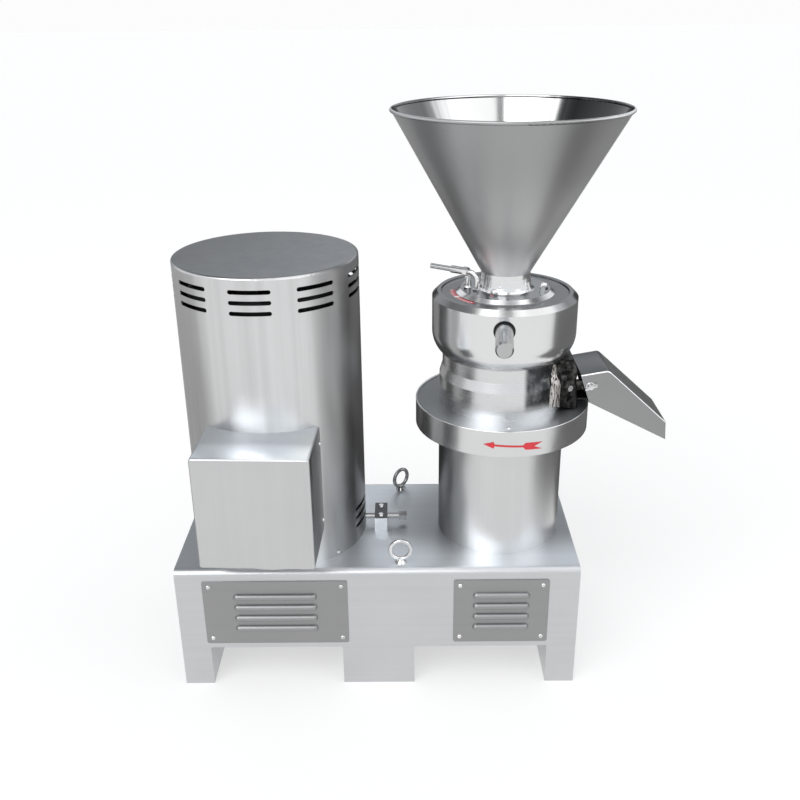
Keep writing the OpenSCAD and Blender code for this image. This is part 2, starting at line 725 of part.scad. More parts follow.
module ball_set(z) color(steel) at_mill() translate([0, 0, z + bearing_w / 2])
    for (i = [0 : ball_n - 1]) rotate([0, 0, i * 360 / ball_n]) translate([ball_circle, 0, 0]) sphere(ball_r);
module upper_outer_ring() outer_ring(upper_bearing_z);
module lower_outer_ring() outer_ring(lower_bearing_z);
module upper_inner_ring() inner_ring(upper_bearing_z);
module lower_inner_ring() inner_ring(lower_bearing_z);
module upper_balls() ball_set(upper_bearing_z);
module lower_balls() ball_set(lower_bearing_z);
module bearing_cap() color(dark) at_mill() translate([0, 0, housing_low - 8])
    tube(housing_r, spindle_r + race_w + 4, 8);

// Spindle with the pulley below and the toothed rotor above
rotor_low = tray_z + floor_t + 14;
module spindle_shaft() color(steel) at_mill() {
    pulley_low = belt_z - pulley_h / 2;
    translate([0, 0, pulley_low]) cylinder(h = rotor_low - pulley_low, r = spindle_r);
    translate([0, 0, pulley_low]) cylinder(h = rotor_top - pulley_low, r = rotor_seat_r);
    translate([0, 0, pulley_low]) cylinder(h = rotor_top + 22 - pulley_low, r = rotor_seat_r * 0.6);
}
// Slanted cutters around a cone, each along the cone's side
module tooth_cutters(n, r_low, r_top, z0, z1, w, d) {
    lean = atan2(r_low - r_top, cone_h);
    for (i = [0 : n - 1]) rotate([0, 0, i * 360 / n])
        translate([r_low, 0, cone_low]) rotate([0, -lean, 0]) rotate([tooth_slant, 0, 0])
            translate([-d, -w / 2, z0]) cube([2 * d, w, z1 - z0]);
}
module grinding_rotor() color(steel) at_mill() difference() {
    union() {
        translate([0, 0, cone_low]) cylinder(h = cone_h - rotor_gap, r1 = cone_low_r, r2 = rotor_top_r);
        translate([0, 0, rotor_low]) cylinder(h = cone_low - rotor_low, r = rotor_seat_r * 2);
        for (i = [0 : 5]) rotate([0, 0, i * 60]) translate([rotor_seat_r * 1.5, -vane_t / 2, rotor_low + over])
            cube([bore_r - vane_t - rotor_seat_r * 1.5, vane_t, vane_h]);
    }
    tooth_cutters(coarse_n, cone_low_r, cone_top_r, cone_h * 0.55, cone_h * 1.3, groove_d * 1.2, groove_d * 0.8);
    tooth_cutters(fine_n, cone_low_r, cone_top_r, -cone_h * 0.2, cone_h * 0.45, groove_d * 0.6, groove_d * 0.4);
    translate([0, 0, rotor_low - over]) cylinder(h = cone_top, r = rotor_seat_r + seat);
}
module rotor_nut() color(steel) at_mill() translate([0, 0, rotor_top]) difference() {
    union() {
        cylinder(h = 8, r = rotor_seat_r * 1.5);
        translate([0, 0, 8]) cylinder(h = 24, r1 = rotor_seat_r * 1.2, r2 = rotor_seat_r * 0.4);
    }
    translate([0, 0, -over]) cylinder(h = 22 + over, r = rotor_seat_r * 0.6 + seat);
}
module v_groove(z) {
    gap = 0.3;
    inner = belt_w - 2 * groove_side;
    translate([0, 0, z]) rotate_extrude()
        polygon([[belt_in - gap, -inner / 2 - gap], [belt_in + belt_d, -belt_w / 2 - gap],
            [pulley_r + over, -belt_w / 2 - gap], [pulley_r + over, belt_w / 2 + gap],
            [belt_in + belt_d, belt_w / 2 + gap], [belt_in - gap, inner / 2 + gap]]);
}
function belt_level(i) = belt_z + (i - (belt_n - 1) / 2) * belt_pitch;
module pulley(hole_r) difference() {
    translate([0, 0, belt_z - pulley_h / 2]) tube(pulley_r, hole_r + seat, pulley_h);
    for (i = [0 : belt_n - 1]) v_groove(belt_level(i));
}
module driven_pulley() color(dark) at_mill() pulley(spindle_r);
module motor_pulley() color(dark) at_motor() pulley(motor_shaft_r);
module pulley_bolt(r) translate([0, 0, belt_z - pulley_h / 2]) {
    translate([0, 0, -4]) cylinder(h = 4, r = r + 6);
    translate([0, 0, -12]) hex_prism(10, 8);
}
module driven_pulley_bolt() color(steel) at_mill() pulley_bolt(spindle_r);
module motor_pulley_bolt() color(steel) at_motor() pulley_bolt(motor_shaft_r);
module belt_section() {
    inner = belt_w - 2 * groove_side;
    polygon([[belt_in, -inner / 2], [belt_in + belt_d, -belt_w / 2],
        [belt_in + belt_d, belt_w / 2], [belt_in, inner / 2]]);
}
module drive_belts() color("black") for (i = [0 : belt_n - 1]) translate([0, 0, belt_level(i)]) {
    at_mill() rotate([0, 0, -90]) rotate_extrude(angle = 180) belt_section();
    at_motor() rotate([0, 0, 90]) rotate_extrude(angle = 180) belt_section();
    for (s = [0, 1]) translate([s * mill_x + (1 - s) * motor_x, 0, 0]) rotate([0, 0, 180 * s])
        rotate([90, 0, 90]) linear_extrude(height = axis_gap) belt_section();
}

// Motor under the cover
module motor_base_plate() color(dark) at_motor() translate([0, 0, base_h]) difference() {
    union() {
        cylinder(h = plate_t, r = plate_r);
        translate([lug_x, -lug_half, 0]) cube([plate_r - lug_x - 2, 2 * lug_half, bolt_z + 14]);
    }
    translate([0, 0, -over]) cylinder(h = plate_t + 2 * over, r = slot_r);
    translate([lug_x + 5.5, 0, bolt_z]) rotate([0, 90, 0]) cylinder(h = 40, r = bolt_r + fit);
    for (i = [0 : 3]) around(foot_screw_turn + i * 90, plate_r - 12) translate([0, 0, foot_screw_z])
        rotate([0, 90, 0]) cylinder(h = 20, r = screw_r + seat);
}
module motor_flange() color(dark) at_motor() translate([0, 0, base_h + plate_t]) difference() {
    tube(flange_r, motor_shaft_r + seat, flange_t);
    translate([lug_x - 1, -lug_half - 1, -over]) cube([plate_r, 2 * lug_half + 2, flange_t + 2 * over]);
}
module motor_housing() color("slategray") at_motor() translate([0, 0, motor_low]) difference() {
    union() {
        cylinder(h = motor_h, r = motor_r);
        for (i = [0 : fin_n - 1]) rotate([0, 0, (i + 0.5) * 360 / fin_n])
            translate([motor_r - 5, -1.75, 20]) cube([fin_h + 5, 3.5, motor_h - 40]);
        translate([0, 0, motor_h - cowl_lap]) cylinder(h = cowl_lap, r = motor_r + fin_h - 2 - seat);
    }
    translate([0, 0, -over]) cylinder(h = motor_h + 2 * over, r = motor_shaft_r + seat);
}
module fan_cowl() color("slategray") at_motor() translate([0, 0, motor_top - cowl_lap]) difference() {
    rotate_extrude() difference() {
        drum_outline(motor_r + fin_h, cowl_h, 12);
        translate([0, -over]) drum_outline(motor_r + fin_h - 2, cowl_h - 2 + over, 10);
    }
    for (i = [0 : 11]) rotate([0, 0, i * 30]) translate([35, -4, cowl_h - 10]) cube([80, 8, 20]);
}
module motor_fan() color(dark) at_motor() translate([0, 0, fan_z]) difference() {
    union() {
        cylinder(h = fan_h, r = motor_shaft_r + 12);
        cylinder(h = 4, r = motor_r - 15);
        for (i = [0 : blade_n - 1]) rotate([0, 0, i * 360 / blade_n]) translate([motor_shaft_r + 8, -2, 0])
            cube([motor_r - 25 - motor_shaft_r, 4, fan_h]);
    }
    translate([0, 0, -over]) cylinder(h = fan_h + 2 * over, r = motor_shaft_r + seat);
}
module motor_shaft() color(steel) at_motor() {
    pulley_low = belt_z - pulley_h / 2;
    translate([0, 0, pulley_low]) cylinder(h = fan_z + fan_h - pulley_low, r = motor_shaft_r);
}
module terminal_box() color("slategray") at_motor() rotate([0, 0, cover_turn]) difference() {
    translate([-box_w / 2, -term_front + box_in, base_h + term_z + box_in])
        cube([box_w, term_front - box_in, term_h - 2 * box_in]);
    translate([0, 0, motor_low]) cylinder(h = motor_h, r = motor_r + fin_h + seat);
}

// Covers: a slotted drum over the motor and a box over its terminals
module arc_slot(r, arc, h) {
    depth = 12;
    flat = arc - h / r * 180 / PI;
    rotate([0, 0, -flat / 2]) rotate_extrude(angle = flat) translate([r - depth, -h / 2]) square([2 * depth, h]);
    for (s = [-1, 1]) rotate([0, 0, s * flat / 2]) rotate([0, 90, 0])
        translate([0, 0, r - depth]) cylinder(h = 2 * depth, d = h);
}
low_vent_turn = 80;
foot_screw_turn = 45;
foot_screw_z = plate_t / 2;
module motor_cover() color(steel) at_motor() translate([0, 0, base_h]) difference() {
    rotate_extrude() difference() {
        drum_outline(cover_r, cover_h, cover_bend);
        translate([0, -over]) drum_outline(cover_in, cover_h - cover_t + over, cover_bend - cover_t);
    }
    rotate([0, 0, cover_turn]) {
        for (i = [0 : vent_n - 1], j = [0 : 2])
            translate([0, 0, cover_h - vent_drop - j * vent_pitch]) around(i * 360 / vent_n, 0)
                arc_slot(cover_r, vent_arc, vent_h);
        for (s = [-1, 1], j = [0 : 2])
            translate([0, 0, low_vent_z + j * vent_pitch]) around(s * low_vent_turn, 0)
                arc_slot(cover_r, vent_arc, vent_h);
        translate([-box_w / 2 - box_gap, -cover_r - 20, term_z + box_in - box_gap])
            cube([box_w + 2 * box_gap, 80, term_h - 2 * box_in + 2 * box_gap]);
    }
    translate([cover_r - 20, 0, bolt_z]) rotate([0, 90, 0]) cylinder(h = 40, r = bolt_r + 3);
    for (i = [0 : 3]) around(foot_screw_turn + i * 90, cover_r - 10) translate([0, 0, foot_screw_z])
        rotate([0, 90, 0]) cylinder(h = 20, r = screw_r + seat);
}
term_gap = 0.6;       // gap between the terminal cover and the drum
module term_screw_place(s, i) {
    translate([s * term_w / 2, -sqrt(cover_r * cover_r - term_w * term_w / 4) - 9, term_z + 28 + i * (term_h - 62)])
        rotate([0, s * 90, 0]) children();
}
module terminal_cover() color(steel) at_motor() translate([0, 0, base_h]) rotate([0, 0, cover_turn]) difference() {
    translate([-term_w / 2, -term_front, term_z]) cube([term_w, term_front, term_h]);
    translate([-term_w / 2 + cover_t, -term_front + cover_t, term_z + cover_t])
        cube([term_w - 2 * cover_t, term_front, term_h - 2 * cover_t]);
    translate([0, 0, term_z - over]) cylinder(h = term_h + 2 * over, r = cover_r + term_gap);
    for (s = [-1, 1], i = [0, 1]) term_screw_place(s, i) translate([0, 0, -10]) cylinder(h = 20, r = screw_r + seat);
}
module cover_screws() color(steel) at_motor() translate([0, 0, base_h]) {
    rotate([0, 0, cover_turn]) for (s = [-1, 1], i = [0, 1]) term_screw_place(s, i)
        pan_screw(screw_head, screw_r, cover_t + 4);
    for (i = [0 : 3]) around(foot_screw_turn + i * 90, cover_r) translate([0, 0, foot_screw_z])
        rotate([0, 90, 0]) pan_screw(screw_head, screw_r, cover_r - plate_r + 10);
}

// Stator and what rises and sinks with it
module stator() color(steel) at_mill() difference() {
    translate([0, 0, cone_low]) cylinder(h = cone_h, r = pocket_r - seat);
    translate([0, 0, cone_low]) cylinder(h = cone_h, r1 = cone_low_r + grind_gap, r2 = cone_top_r + grind_gap);
    tooth_cutters(coarse_n, cone_low_r + grind_gap, cone_top_r + grind_gap,
        cone_h * 0.55, cone_h * 1.3, groove_d * 1.2, groove_d * 0.8);
    tooth_cutters(fine_n, cone_low_r + grind_gap, cone_top_r + grind_gap,
        -cone_h * 0.2, cone_h * 0.45, groove_d * 0.6, groove_d * 0.4);
}
module stator_carrier() color(steel) at_mill() difference() {
    union() {
        translate([0, 0, carrier_low]) cylinder(h = plate_z - carrier_low, r = thread_r);
        translate([0, 0, cone_low - 2]) cylinder(h = plate_z - cone_low + 2, r = bore_r - fit);
    }
    translate([0, 0, cone_low - 2 - over]) cylinder(h = cone_h + 2 + over, r = pocket_r);
    translate([0, 0, cone_low]) cylinder(h = tray_z, r = feed_r);
    stud_holes(plate_z - 12);
}
module stud_places() { for (i = [0 : 3]) around(nut_turn - i * 90, nut_circle) children(); }
module stud_holes(z) { stud_places() translate([0, 0, z]) cylinder(h = disc_top, r = tap + seat); }
module scale_plate() color(steel) at_mill() difference() {
    translate([0, 0, plate_z]) cylinder(h = scale_t, r = scale_r);
    translate([0, 0, plate_z - over]) cylinder(h = scale_t + 2 * over, r = feed_r);
    stud_holes(plate_z - over);
}
// Outer line of the flared collar, from the flange's top up to the hopper
function flare(a) = [collar_foot_r - (collar_foot_r - outlet_r) * sin(a), disc_top + collar_h * (1 - cos(a))];
module hopper_collar() color(steel) at_mill() difference() {
    rotate_extrude() polygon(concat([[feed_r, disc_z], [disc_r, disc_z], [disc_r, disc_z + 1],
        [disc_r - disc_bevel, disc_top]], [for (a = [0 : 15 : 90]) flare(a)], [[feed_r, hopper_z]]));
    stud_holes(disc_z - over);
    fitting_holes();
}
module hopper() color(steel) at_mill() {
    wall = hopper_t / cos(atan2(hopper_r - outlet_r, hopper_h));
    rotate_extrude() polygon([[outlet_r - wall, hopper_z], [outlet_r, hopper_z],
        [hopper_r, hopper_top], [hopper_r - wall, hopper_top]]);
    translate([0, 0, hopper_top]) rotate_extrude() translate([hopper_r - wall / 2, 0]) circle(bead_r);
}
module acorn_nuts() color(steel) at_mill() stud_places() translate([0, 0, disc_top]) {
    cylinder(h = 1.5, r = tap * 2.2);
    translate([0, 0, 1.5]) hex_prism(tap * 2, 8);
    translate([0, 0, 9.5]) cylinder(h = 2, r = tap * 1.6);
    translate([0, 0, 11.5]) intersection() {
        sphere(tap * 1.6);
        cylinder(h = tap * 2, r = tap * 2);
    }
    translate([0, 0, -disc_t - scale_t - 8]) cylinder(h = disc_t + scale_t + 9, r = tap);
}
// Cooling water: an elbow with a union and a hose tail, and an upright outlet nipple
elbow_r = 16;
inlet_rise = 24;
fitting_r = 4.5;
module fitting_holes() {
    around(inlet_turn, inlet_r) translate([0, 0, disc_top - 5]) cylinder(h = 10, r = fitting_r + seat);
    around(outlet_turn, nut_circle) translate([0, 0, disc_top - 5]) cylinder(h = 10, r = fitting_r + seat);
}
module water_inlet() color(steel) at_mill() around(inlet_turn, inlet_r) translate([0, 0, disc_top])
    rotate([0, 0, 90 - inlet_turn + inlet_aim]) {
        translate([0, 0, -4]) cylinder(h = inlet_rise + 4, r = fitting_r);
        hex_prism(fitting_r * 1.9, 9);
        translate([elbow_r, 0, inlet_rise]) rotate([90, 0, 0]) rotate([0, 0, 90])
            rotate_extrude(angle = 90) translate([elbow_r, 0]) circle(fitting_r);
        translate([elbow_r, 0, inlet_rise + elbow_r]) rotate([0, 90, 0]) {
            cylinder(h = 12, r = fitting_r);
            translate([0, 0, 4]) hex_prism(fitting_r * 2, 9);
            translate([0, 0, 12]) cylinder(h = 28, r = fitting_r * 1.6);
            translate([0, 0, 40]) cylinder(h = 3, r = fitting_r * 1.3);
            translate([0, 0, 43]) cylinder(h = tail_l, r = tail_r);
        }
    }
module water_outlet() color(steel) at_mill() around(outlet_turn, nut_circle) translate([0, 0, disc_top]) {
    translate([0, 0, -4]) cylinder(h = 30, r = fitting_r);
    hex_prism(fitting_r * 1.7, 7);
    translate([0, 0, 7]) cylinder(h = 3, r1 = fitting_r * 1.5, r2 = fitting_r * 1.1);
}

// Adjusting ring with its two handles
handle_z = wall_low + ring_wall * 0.6;
stud_r = 8;
stud_l = 12;
module handle_place(a) { translate([0, 0, handle_z]) around(handle_turn + a, 0) rotate([0, 90, 0]) children(); }
module adjusting_ring() color(steel) at_mill() difference() {
    rotate_extrude() difference() {
        union() {
            translate([0, wall_low]) square([ring_r, ring_wall]);
            polygon([[0, wall_top], [ring_r, wall_top], [ring_r - ring_bevel, ring_top], [0, ring_top]]);
            intersection() {
                translate([ring_r - skirt_arc, wall_low]) circle(skirt_arc);
                translate([ring_bore - over, ring_low]) square([ring_r, ring_skirt]);
            }
        }
        translate([0, ring_low - over]) square([ring_bore, neck_top + 0.3 - ring_low + over]);
        translate([0, ring_low]) square([thread_r + fit, ring_top]);
        translate([0, plate_z - 3]) square([scale_r + scale_gap, ring_top]);
    }
    for (a = [0, 180]) handle_place(a) {
        translate([0, 0, ring_r - 5]) cylinder(h = 20, r = socket_r);
        translate([0, 0, ring_r - 5 - stud_l - over]) cylinder(h = 20, r = stud_r + seat);
    }
}
module handle(a) color(steel) at_mill() handle_place(a) translate([0, 0, ring_r - 5]) {
    cylinder(h = handle_l, r = handle_r);
    translate([0, 0, handle_l]) cylinder(h = 5, r1 = handle_r, r2 = handle_r - 3);
    translate([0, 0, -stud_l]) cylinder(h = stud_l + over, r = stud_r);
}
module handle_front() handle(0);
module handle_rear() handle(180);

base_frame();
end_panel_left();
end_panel_right();
leg_channels();
vent_panel_left();
vent_panel_right();
panel_screws();
eye_bolt_front();
eye_bolt_rear();
tension_bracket();
bracket_screws();
column_shell();
drip_tray();
grinding_chamber();
discharge_spout();
chamber_screws();
wing_bolts();
wing_nuts();
bearing_housing();
upper_outer_ring();
lower_outer_ring();
upper_balls();
lower_balls();
bearing_cap();
shaft_seal();
drive_belts();
motor_base_plate();
motor_flange();
motor_housing();
fan_cowl();
terminal_box();
motor_cover();
terminal_cover();
cover_screws();
tension_bolt();
tension_nut();
motor_shaft();
motor_fan();
motor_pulley();
motor_pulley_bolt();
spindle_shaft();
grinding_rotor();
rotor_nut();
driven_pulley();
driven_pulley_bolt();
upper_inner_ring();
lower_inner_ring();
stator();
stator_carrier();
scale_plate();
hopper_collar();
hopper();
acorn_nuts();
water_inlet();
water_outlet();
adjusting_ring();
handle_front();
handle_rear();
discharge_chute();
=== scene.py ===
# %% [markdown]
# # Dressing a colloid mill
#
# A colloid mill grinds wet food or paint between a toothed cone and a toothed ring. The motor stands
# under the round cover on the left and drives the mill on the right by belts inside the base.
# The solid parts arrive finished from the construction step. This lesson gives them their surfaces,
# adds the folded and pressed sheet details as parametric surfaces, and sets up light and camera.

import math

import bmesh
import bpy
import numpy as np
from mathutils import Matrix, Vector


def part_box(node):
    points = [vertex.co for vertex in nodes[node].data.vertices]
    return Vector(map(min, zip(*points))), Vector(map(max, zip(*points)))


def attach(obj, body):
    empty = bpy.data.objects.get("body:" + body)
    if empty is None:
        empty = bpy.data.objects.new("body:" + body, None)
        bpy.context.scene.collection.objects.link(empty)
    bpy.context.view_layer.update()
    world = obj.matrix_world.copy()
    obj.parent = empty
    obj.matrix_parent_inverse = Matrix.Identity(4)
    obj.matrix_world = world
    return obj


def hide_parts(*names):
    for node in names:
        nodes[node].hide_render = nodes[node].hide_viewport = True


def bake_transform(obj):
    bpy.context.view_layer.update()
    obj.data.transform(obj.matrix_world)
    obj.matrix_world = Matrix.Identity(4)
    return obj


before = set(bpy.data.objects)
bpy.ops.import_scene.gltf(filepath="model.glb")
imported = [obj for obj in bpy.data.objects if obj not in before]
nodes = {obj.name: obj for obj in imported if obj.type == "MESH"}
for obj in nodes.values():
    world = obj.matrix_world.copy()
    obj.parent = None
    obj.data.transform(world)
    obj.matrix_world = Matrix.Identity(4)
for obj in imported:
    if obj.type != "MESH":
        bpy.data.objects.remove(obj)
scene = bpy.context.scene
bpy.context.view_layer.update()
print("parts loaded:", len(nodes))

# %% [markdown]
# ## Measures
#
# Two vertical axes rule the machine: the motor's and the mill's. Both are read from the boxes of the
# solid parts, so that the surfaces follow if the construction changes.


# %% Read the axes and levels
def box_middle(name):
    """The middle point of a part's box: half the sum of its two corners."""
    low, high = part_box(name)
    return (low + high) / 2


mill_x = box_middle("hopper").x
motor_x = box_middle("motor_cover").x
base_low, base_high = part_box("base_frame")
base_top = base_high.z
tray_low, tray_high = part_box("drip_tray")
tray_r = (tray_high.x - tray_low.x) / 2
plate_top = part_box("scale_plate")[1].z
hopper_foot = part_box("hopper")[0].z
cover_low, cover_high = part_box("motor_cover")
cover_r = (cover_high.x - cover_low.x) / 2
print("mill axis", round(mill_x, 3), "motor axis", round(motor_x, 3))

# %% [markdown]
# ## Camera
#
# The view was solved from edges whose real places are known. It is a matrix whose columns are the
# image's right, the image's up and the way back to the viewer, so the three turns are multiplied out.

# %% Set the camera
camera_place = Vector((0.062441, -1.779941, 1.343719))
yaw = math.radians(0.424)
pitch = math.radians(-23.436)
roll = math.radians(0.665)
sensor = 36.0
focal_pixels = 940.108
photo_pixels = 800

turn = Matrix.Rotation(yaw, 3, "Z") @ Matrix.Rotation(pitch, 3, "X") @ Matrix.Rotation(roll, 3, "Y")
right, forward, up = turn.col
camera_data = bpy.data.cameras.new("camera")
camera_data.sensor_width = sensor
camera_data.lens = focal_pixels / photo_pixels * sensor
camera_data.clip_start = 0.01
camera_data.clip_end = 100
camera = bpy.data.objects.new("camera", camera_data)
image_axes = Matrix((right, up, -forward)).transposed().to_4x4()
camera.matrix_world = Matrix.Translation(camera_place) @ image_axes
scene.collection.objects.link(camera)
scene.camera = camera
scene.view_settings.view_transform = "Standard"
print("camera lens", round(camera_data.lens, 2), "mm")

# %% [markdown]
# ## Wiring surfaces by arithmetic
#
# A procedural finish is a formula. Its nodes could be added and linked one by one, but a formula reads
# best as arithmetic. `Wire` holds one socket of a node tree. Adding or multiplying two wires adds a Math
# node, and `node` adds any other node. `Finish` is a material with the wires that a formula starts from.


# %% The Wire class
class Wire:
    """One output socket. Operators add Math nodes, so a formula is written as a formula."""

    def __init__(self, tree, socket):
        self.tree = tree
        self.socket = socket

    def node(self, kind, settings=None, inputs=None, out=0):
        """Add a node of a kind, set its properties, fill or link its inputs and hand back one output."""
        made = self.tree.nodes.new(kind)
        for name, value in (settings or {}).items():
            setattr(made, name, value)
        for name, value in (inputs or {}).items():
            if isinstance(value, Wire):
                self.tree.links.new(value.socket, made.inputs[name])
            else:
                made.inputs[name].default_value = value
        return Wire(self.tree, made.outputs[out])

    def math(self, operation, first, second=0.0):
        """A Math node on one or two numbers or wires."""
        return self.node("ShaderNodeMath", {"operation": operation}, {0: first, 1: second})

    def __add__(self, other):
        return self.math("ADD", self, other)

    def __radd__(self, other):
        return self.math("ADD", other, self)

    def __sub__(self, other):
        return self.math("SUBTRACT", self, other)

    def __rsub__(self, other):
        return self.math("SUBTRACT", other, self)

    def __mul__(self, other):
        return self.math("MULTIPLY", self, other)

    def __rmul__(self, other):
        return self.math("MULTIPLY", other, self)

    def __truediv__(self, other):
        return self.math("DIVIDE", self, other)

    def __rtruediv__(self, other):
        return self.math("DIVIDE", other, self)

    def __pow__(self, other):
        return self.math("POWER", self, other)

    def __lt__(self, other):
        return self.math("LESS_THAN", self, other)

    def __gt__(self, other):
        return self.math("GREATER_THAN", self, other)

    def axes(self):
        """The three parts of a vector wire."""
        split = self.node("ShaderNodeSeparateXYZ", None, {0: self}).socket.node
        return [Wire(self.tree, output) for output in split.outputs]

    def join(self, x, y, z):
        """A vector wire from three numbers or wires."""
        return self.node("ShaderNodeCombineXYZ", None, {0: x, 1: y, 2: z})

    def step(self, low, high):
        """0 below low, 1 above high, and a smooth rise between them."""
        settings = {"interpolation_type": "SMOOTHSTEP"}
        return self.node("ShaderNodeMapRange", settings, {0: self, 1: low, 2: high})

    def noise(self, detail=2.0, rough=0.5):
        """Soft noise between 0 and 1 over the place that this vector wire gives."""
        inputs = {"Vector": self, "Scale": 1.0, "Detail": detail, "Roughness": rough}
        return self.node("ShaderNodeTexNoise", None, inputs)

    def sway(self, amount):
        """Noise moved to lie about 0: the noise less a half, times an amount."""
        return (self - 0.5) * amount

    def dim(self, share):
        """1 where this mask is 0, falling to a share where it is 1."""
        return 1.0 - (1.0 - share) * self

    def mix(self, first, second):
        """Colour first where this wire is 0, colour second where it is 1."""
        settings = {"data_type": "RGBA"}
        return self.node("ShaderNodeMix", settings, {0: self, 6: first, 7: second}, out=2)

    def tint(self, colour):
        """A colour scaled by this number wire."""
        return self.node("ShaderNodeVectorMath", {"operation": "SCALE"}, {0: colour[:3], 3: self})

    def bump(self, strength, distance):
        """A normal from this height wire."""
        inputs = {"Strength": strength, "Distance": distance, "Height": self}
        return self.node("ShaderNodeBump", None, inputs)


class Finish:
    """A material with its Principled surface, the place on the part, and a way to plug wires in."""

    def __init__(self, name, **constants):
        self.material = bpy.data.materials.new(name)
        self.material.use_nodes = True
        self.tree = self.material.node_tree
        self.surface = self.tree.nodes["Principled BSDF"]
        coordinate = self.tree.nodes.new("ShaderNodeTexCoord")
        self.place = Wire(self.tree, coordinate.outputs["Object"])
        self.normal = Wire(self.tree, coordinate.outputs["Normal"])
        self.map = Wire(self.tree, coordinate.outputs["UV"])
        for key, value in constants.items():
            self.surface.inputs[key.replace("_", " ").title()].default_value = value

    def grain(self, rate, detail, rough=0.5, along=None, along_rate=0.0):
        """Noise over the part's place, at a rate in waves a metre. A lower rate along one axis draws it out
        to streaks."""
        rates = [rate, rate, rate]
        if along is not None:
            rates[along] = along_rate
        x, y, z = self.place.axes()
        return self.place.join(x * rates[0], y * rates[1], z * rates[2]).noise(detail, rough)

    def plug(self, name, wire):
        """Link a wire to an input of the surface."""
        self.tree.links.new(wire.socket, self.surface.inputs[name])


def grey(level, warm=0.0):
    """A grey colour in linear light, a little warmer (above 0) or colder (below 0)."""
    return (level * (1 + warm), level, level * (1 - warm), 1.0)


def side_shade(finish, left=1.0, right=1.0):
    """Painted shade: 1 on faces that look forward or back, falling to the shares left and right on faces
    that look that way."""
    across = finish.normal.axes()[0]
    on_right = across.step(0.75, 0.98)
    on_left = 1.0 - across.step(-0.99, -0.85)
    return on_right.dim(right) * on_left.dim(left)


def from_mill(finish):
    """Distance from the mill's axis: the root of the sum of both squares."""
    x, y = finish.place.axes()[:2]
    return ((x - mill_x) ** 2.0 + y * y) ** 0.5


finishes = {}
print("wire tools ready")

# %% [markdown]
# ## Brushed sheet
#
# Stainless sheet is ground with a belt, which leaves fine scratches all one way. A picture of scratches
# could be wrapped round each part, but noise needs no map. Squeezed across the scratches and stretched
# along them, it gives fine streaks that glitter and broad ones that read as soft bands. The scratches
# also spread the reflection, so roughness follows them. Faces that look up or aside mirror other parts
# of the room, so their tone is a painted reflection, picked out by the normal, with painted shade on faces
# that look left and on the tops at the left end and beside the column.

# %% Brushed finishes
along_x = 0
along_z = 2
scratch_rate = 900.0
scratch_along = 4.0
band_rate = 70.0
band_along = 0.8


def brushed(name, tone, warm, along, rough, band=0.10, streak=0.10, top=None, top_painted_shade=0.0, left=1.0):
    """Brushed steel: the tone times one plus three noises. along is the axis of the scratches. top is the
    tone of faces that look up, a painted reflection, and top_painted_shade how much of it is lost to
    painted shade at the left end and beside the column; it also roughens those tops. left is the share of
    faces that look left, as painted shade."""
    finish = Finish(name, metallic=1.0)
    x, y = finish.place.axes()[:2]
    fine = finish.grain(scratch_rate, 3.0, along=along, along_rate=scratch_along)
    broad = finish.grain(band_rate, 2.0, along=along, along_rate=band_along)
    smudge = finish.grain(9.0, 3.0)
    level = 1.0 + broad.sway(band) + fine.sway(streak) + smudge.sway(0.08)
    # Painted shade on faces that look left.
    side_colour = (level * side_shade(finish, left)).tint(grey(tone, warm))
    # Tops: a painted reflection tone, with painted shade beside the column and at the left end.
    shade_by_column = (1.0 - from_mill(finish).step(0.14, 0.32)) * y.step(-0.16, -0.03)
    shade_at_left = 1.0 - x.step(base_low.x + 0.06, base_low.x + 0.16)
    top_shade = shade_by_column.dim(1.0 - top_painted_shade) * shade_at_left.dim(1.0 - top_painted_shade)
    painted_top_colour = (level * top_shade).tint(grey(top or tone, warm - 0.03))
    upward = finish.normal.axes()[2].step(0.7, 0.97)
    finish.plug("Base Color", upward.mix(side_colour, painted_top_colour))
    finish.plug("Roughness", rough + upward * top_painted_shade * 0.2 + fine.sway(0.12) + smudge.sway(0.10))
    finish.plug("Normal", fine.bump(0.06, 0.0004))
    finishes[name] = finish


# top and top_painted_shade set a painted reflection tone and painted shade on the tops; left is painted
# shade.
brushed("base_sheet", tone=0.56, warm=-0.015, along=along_x, rough=0.34, top=0.92, top_painted_shade=0.55)
brushed("bracket_sheet", tone=0.62, warm=-0.015, along=along_x, rough=0.30, top=0.10)
brushed("column_sheet", tone=0.60, warm=0.0, along=along_z, rough=0.32, left=0.20)
brushed("panel_sheet", tone=0.31, warm=0.0, along=along_x, rough=0.42, band=0.06, streak=0.06)
print("brushed finishes:", sorted(finishes))

# %% [markdown]
# ## The motor cover
#
# The drum has vertical scratches too, with stronger bands, because it is rolled after brushing. Its lid
# mirrors the darker ceiling, so its tone is a darker painted reflection, lighter towards the right. Wall
# and lid could be two materials, but the part is one solid, so the tone follows how far a face looks
# upward. The flank that faces the mill mirrors it, so it carries painted shade, most of all low down.


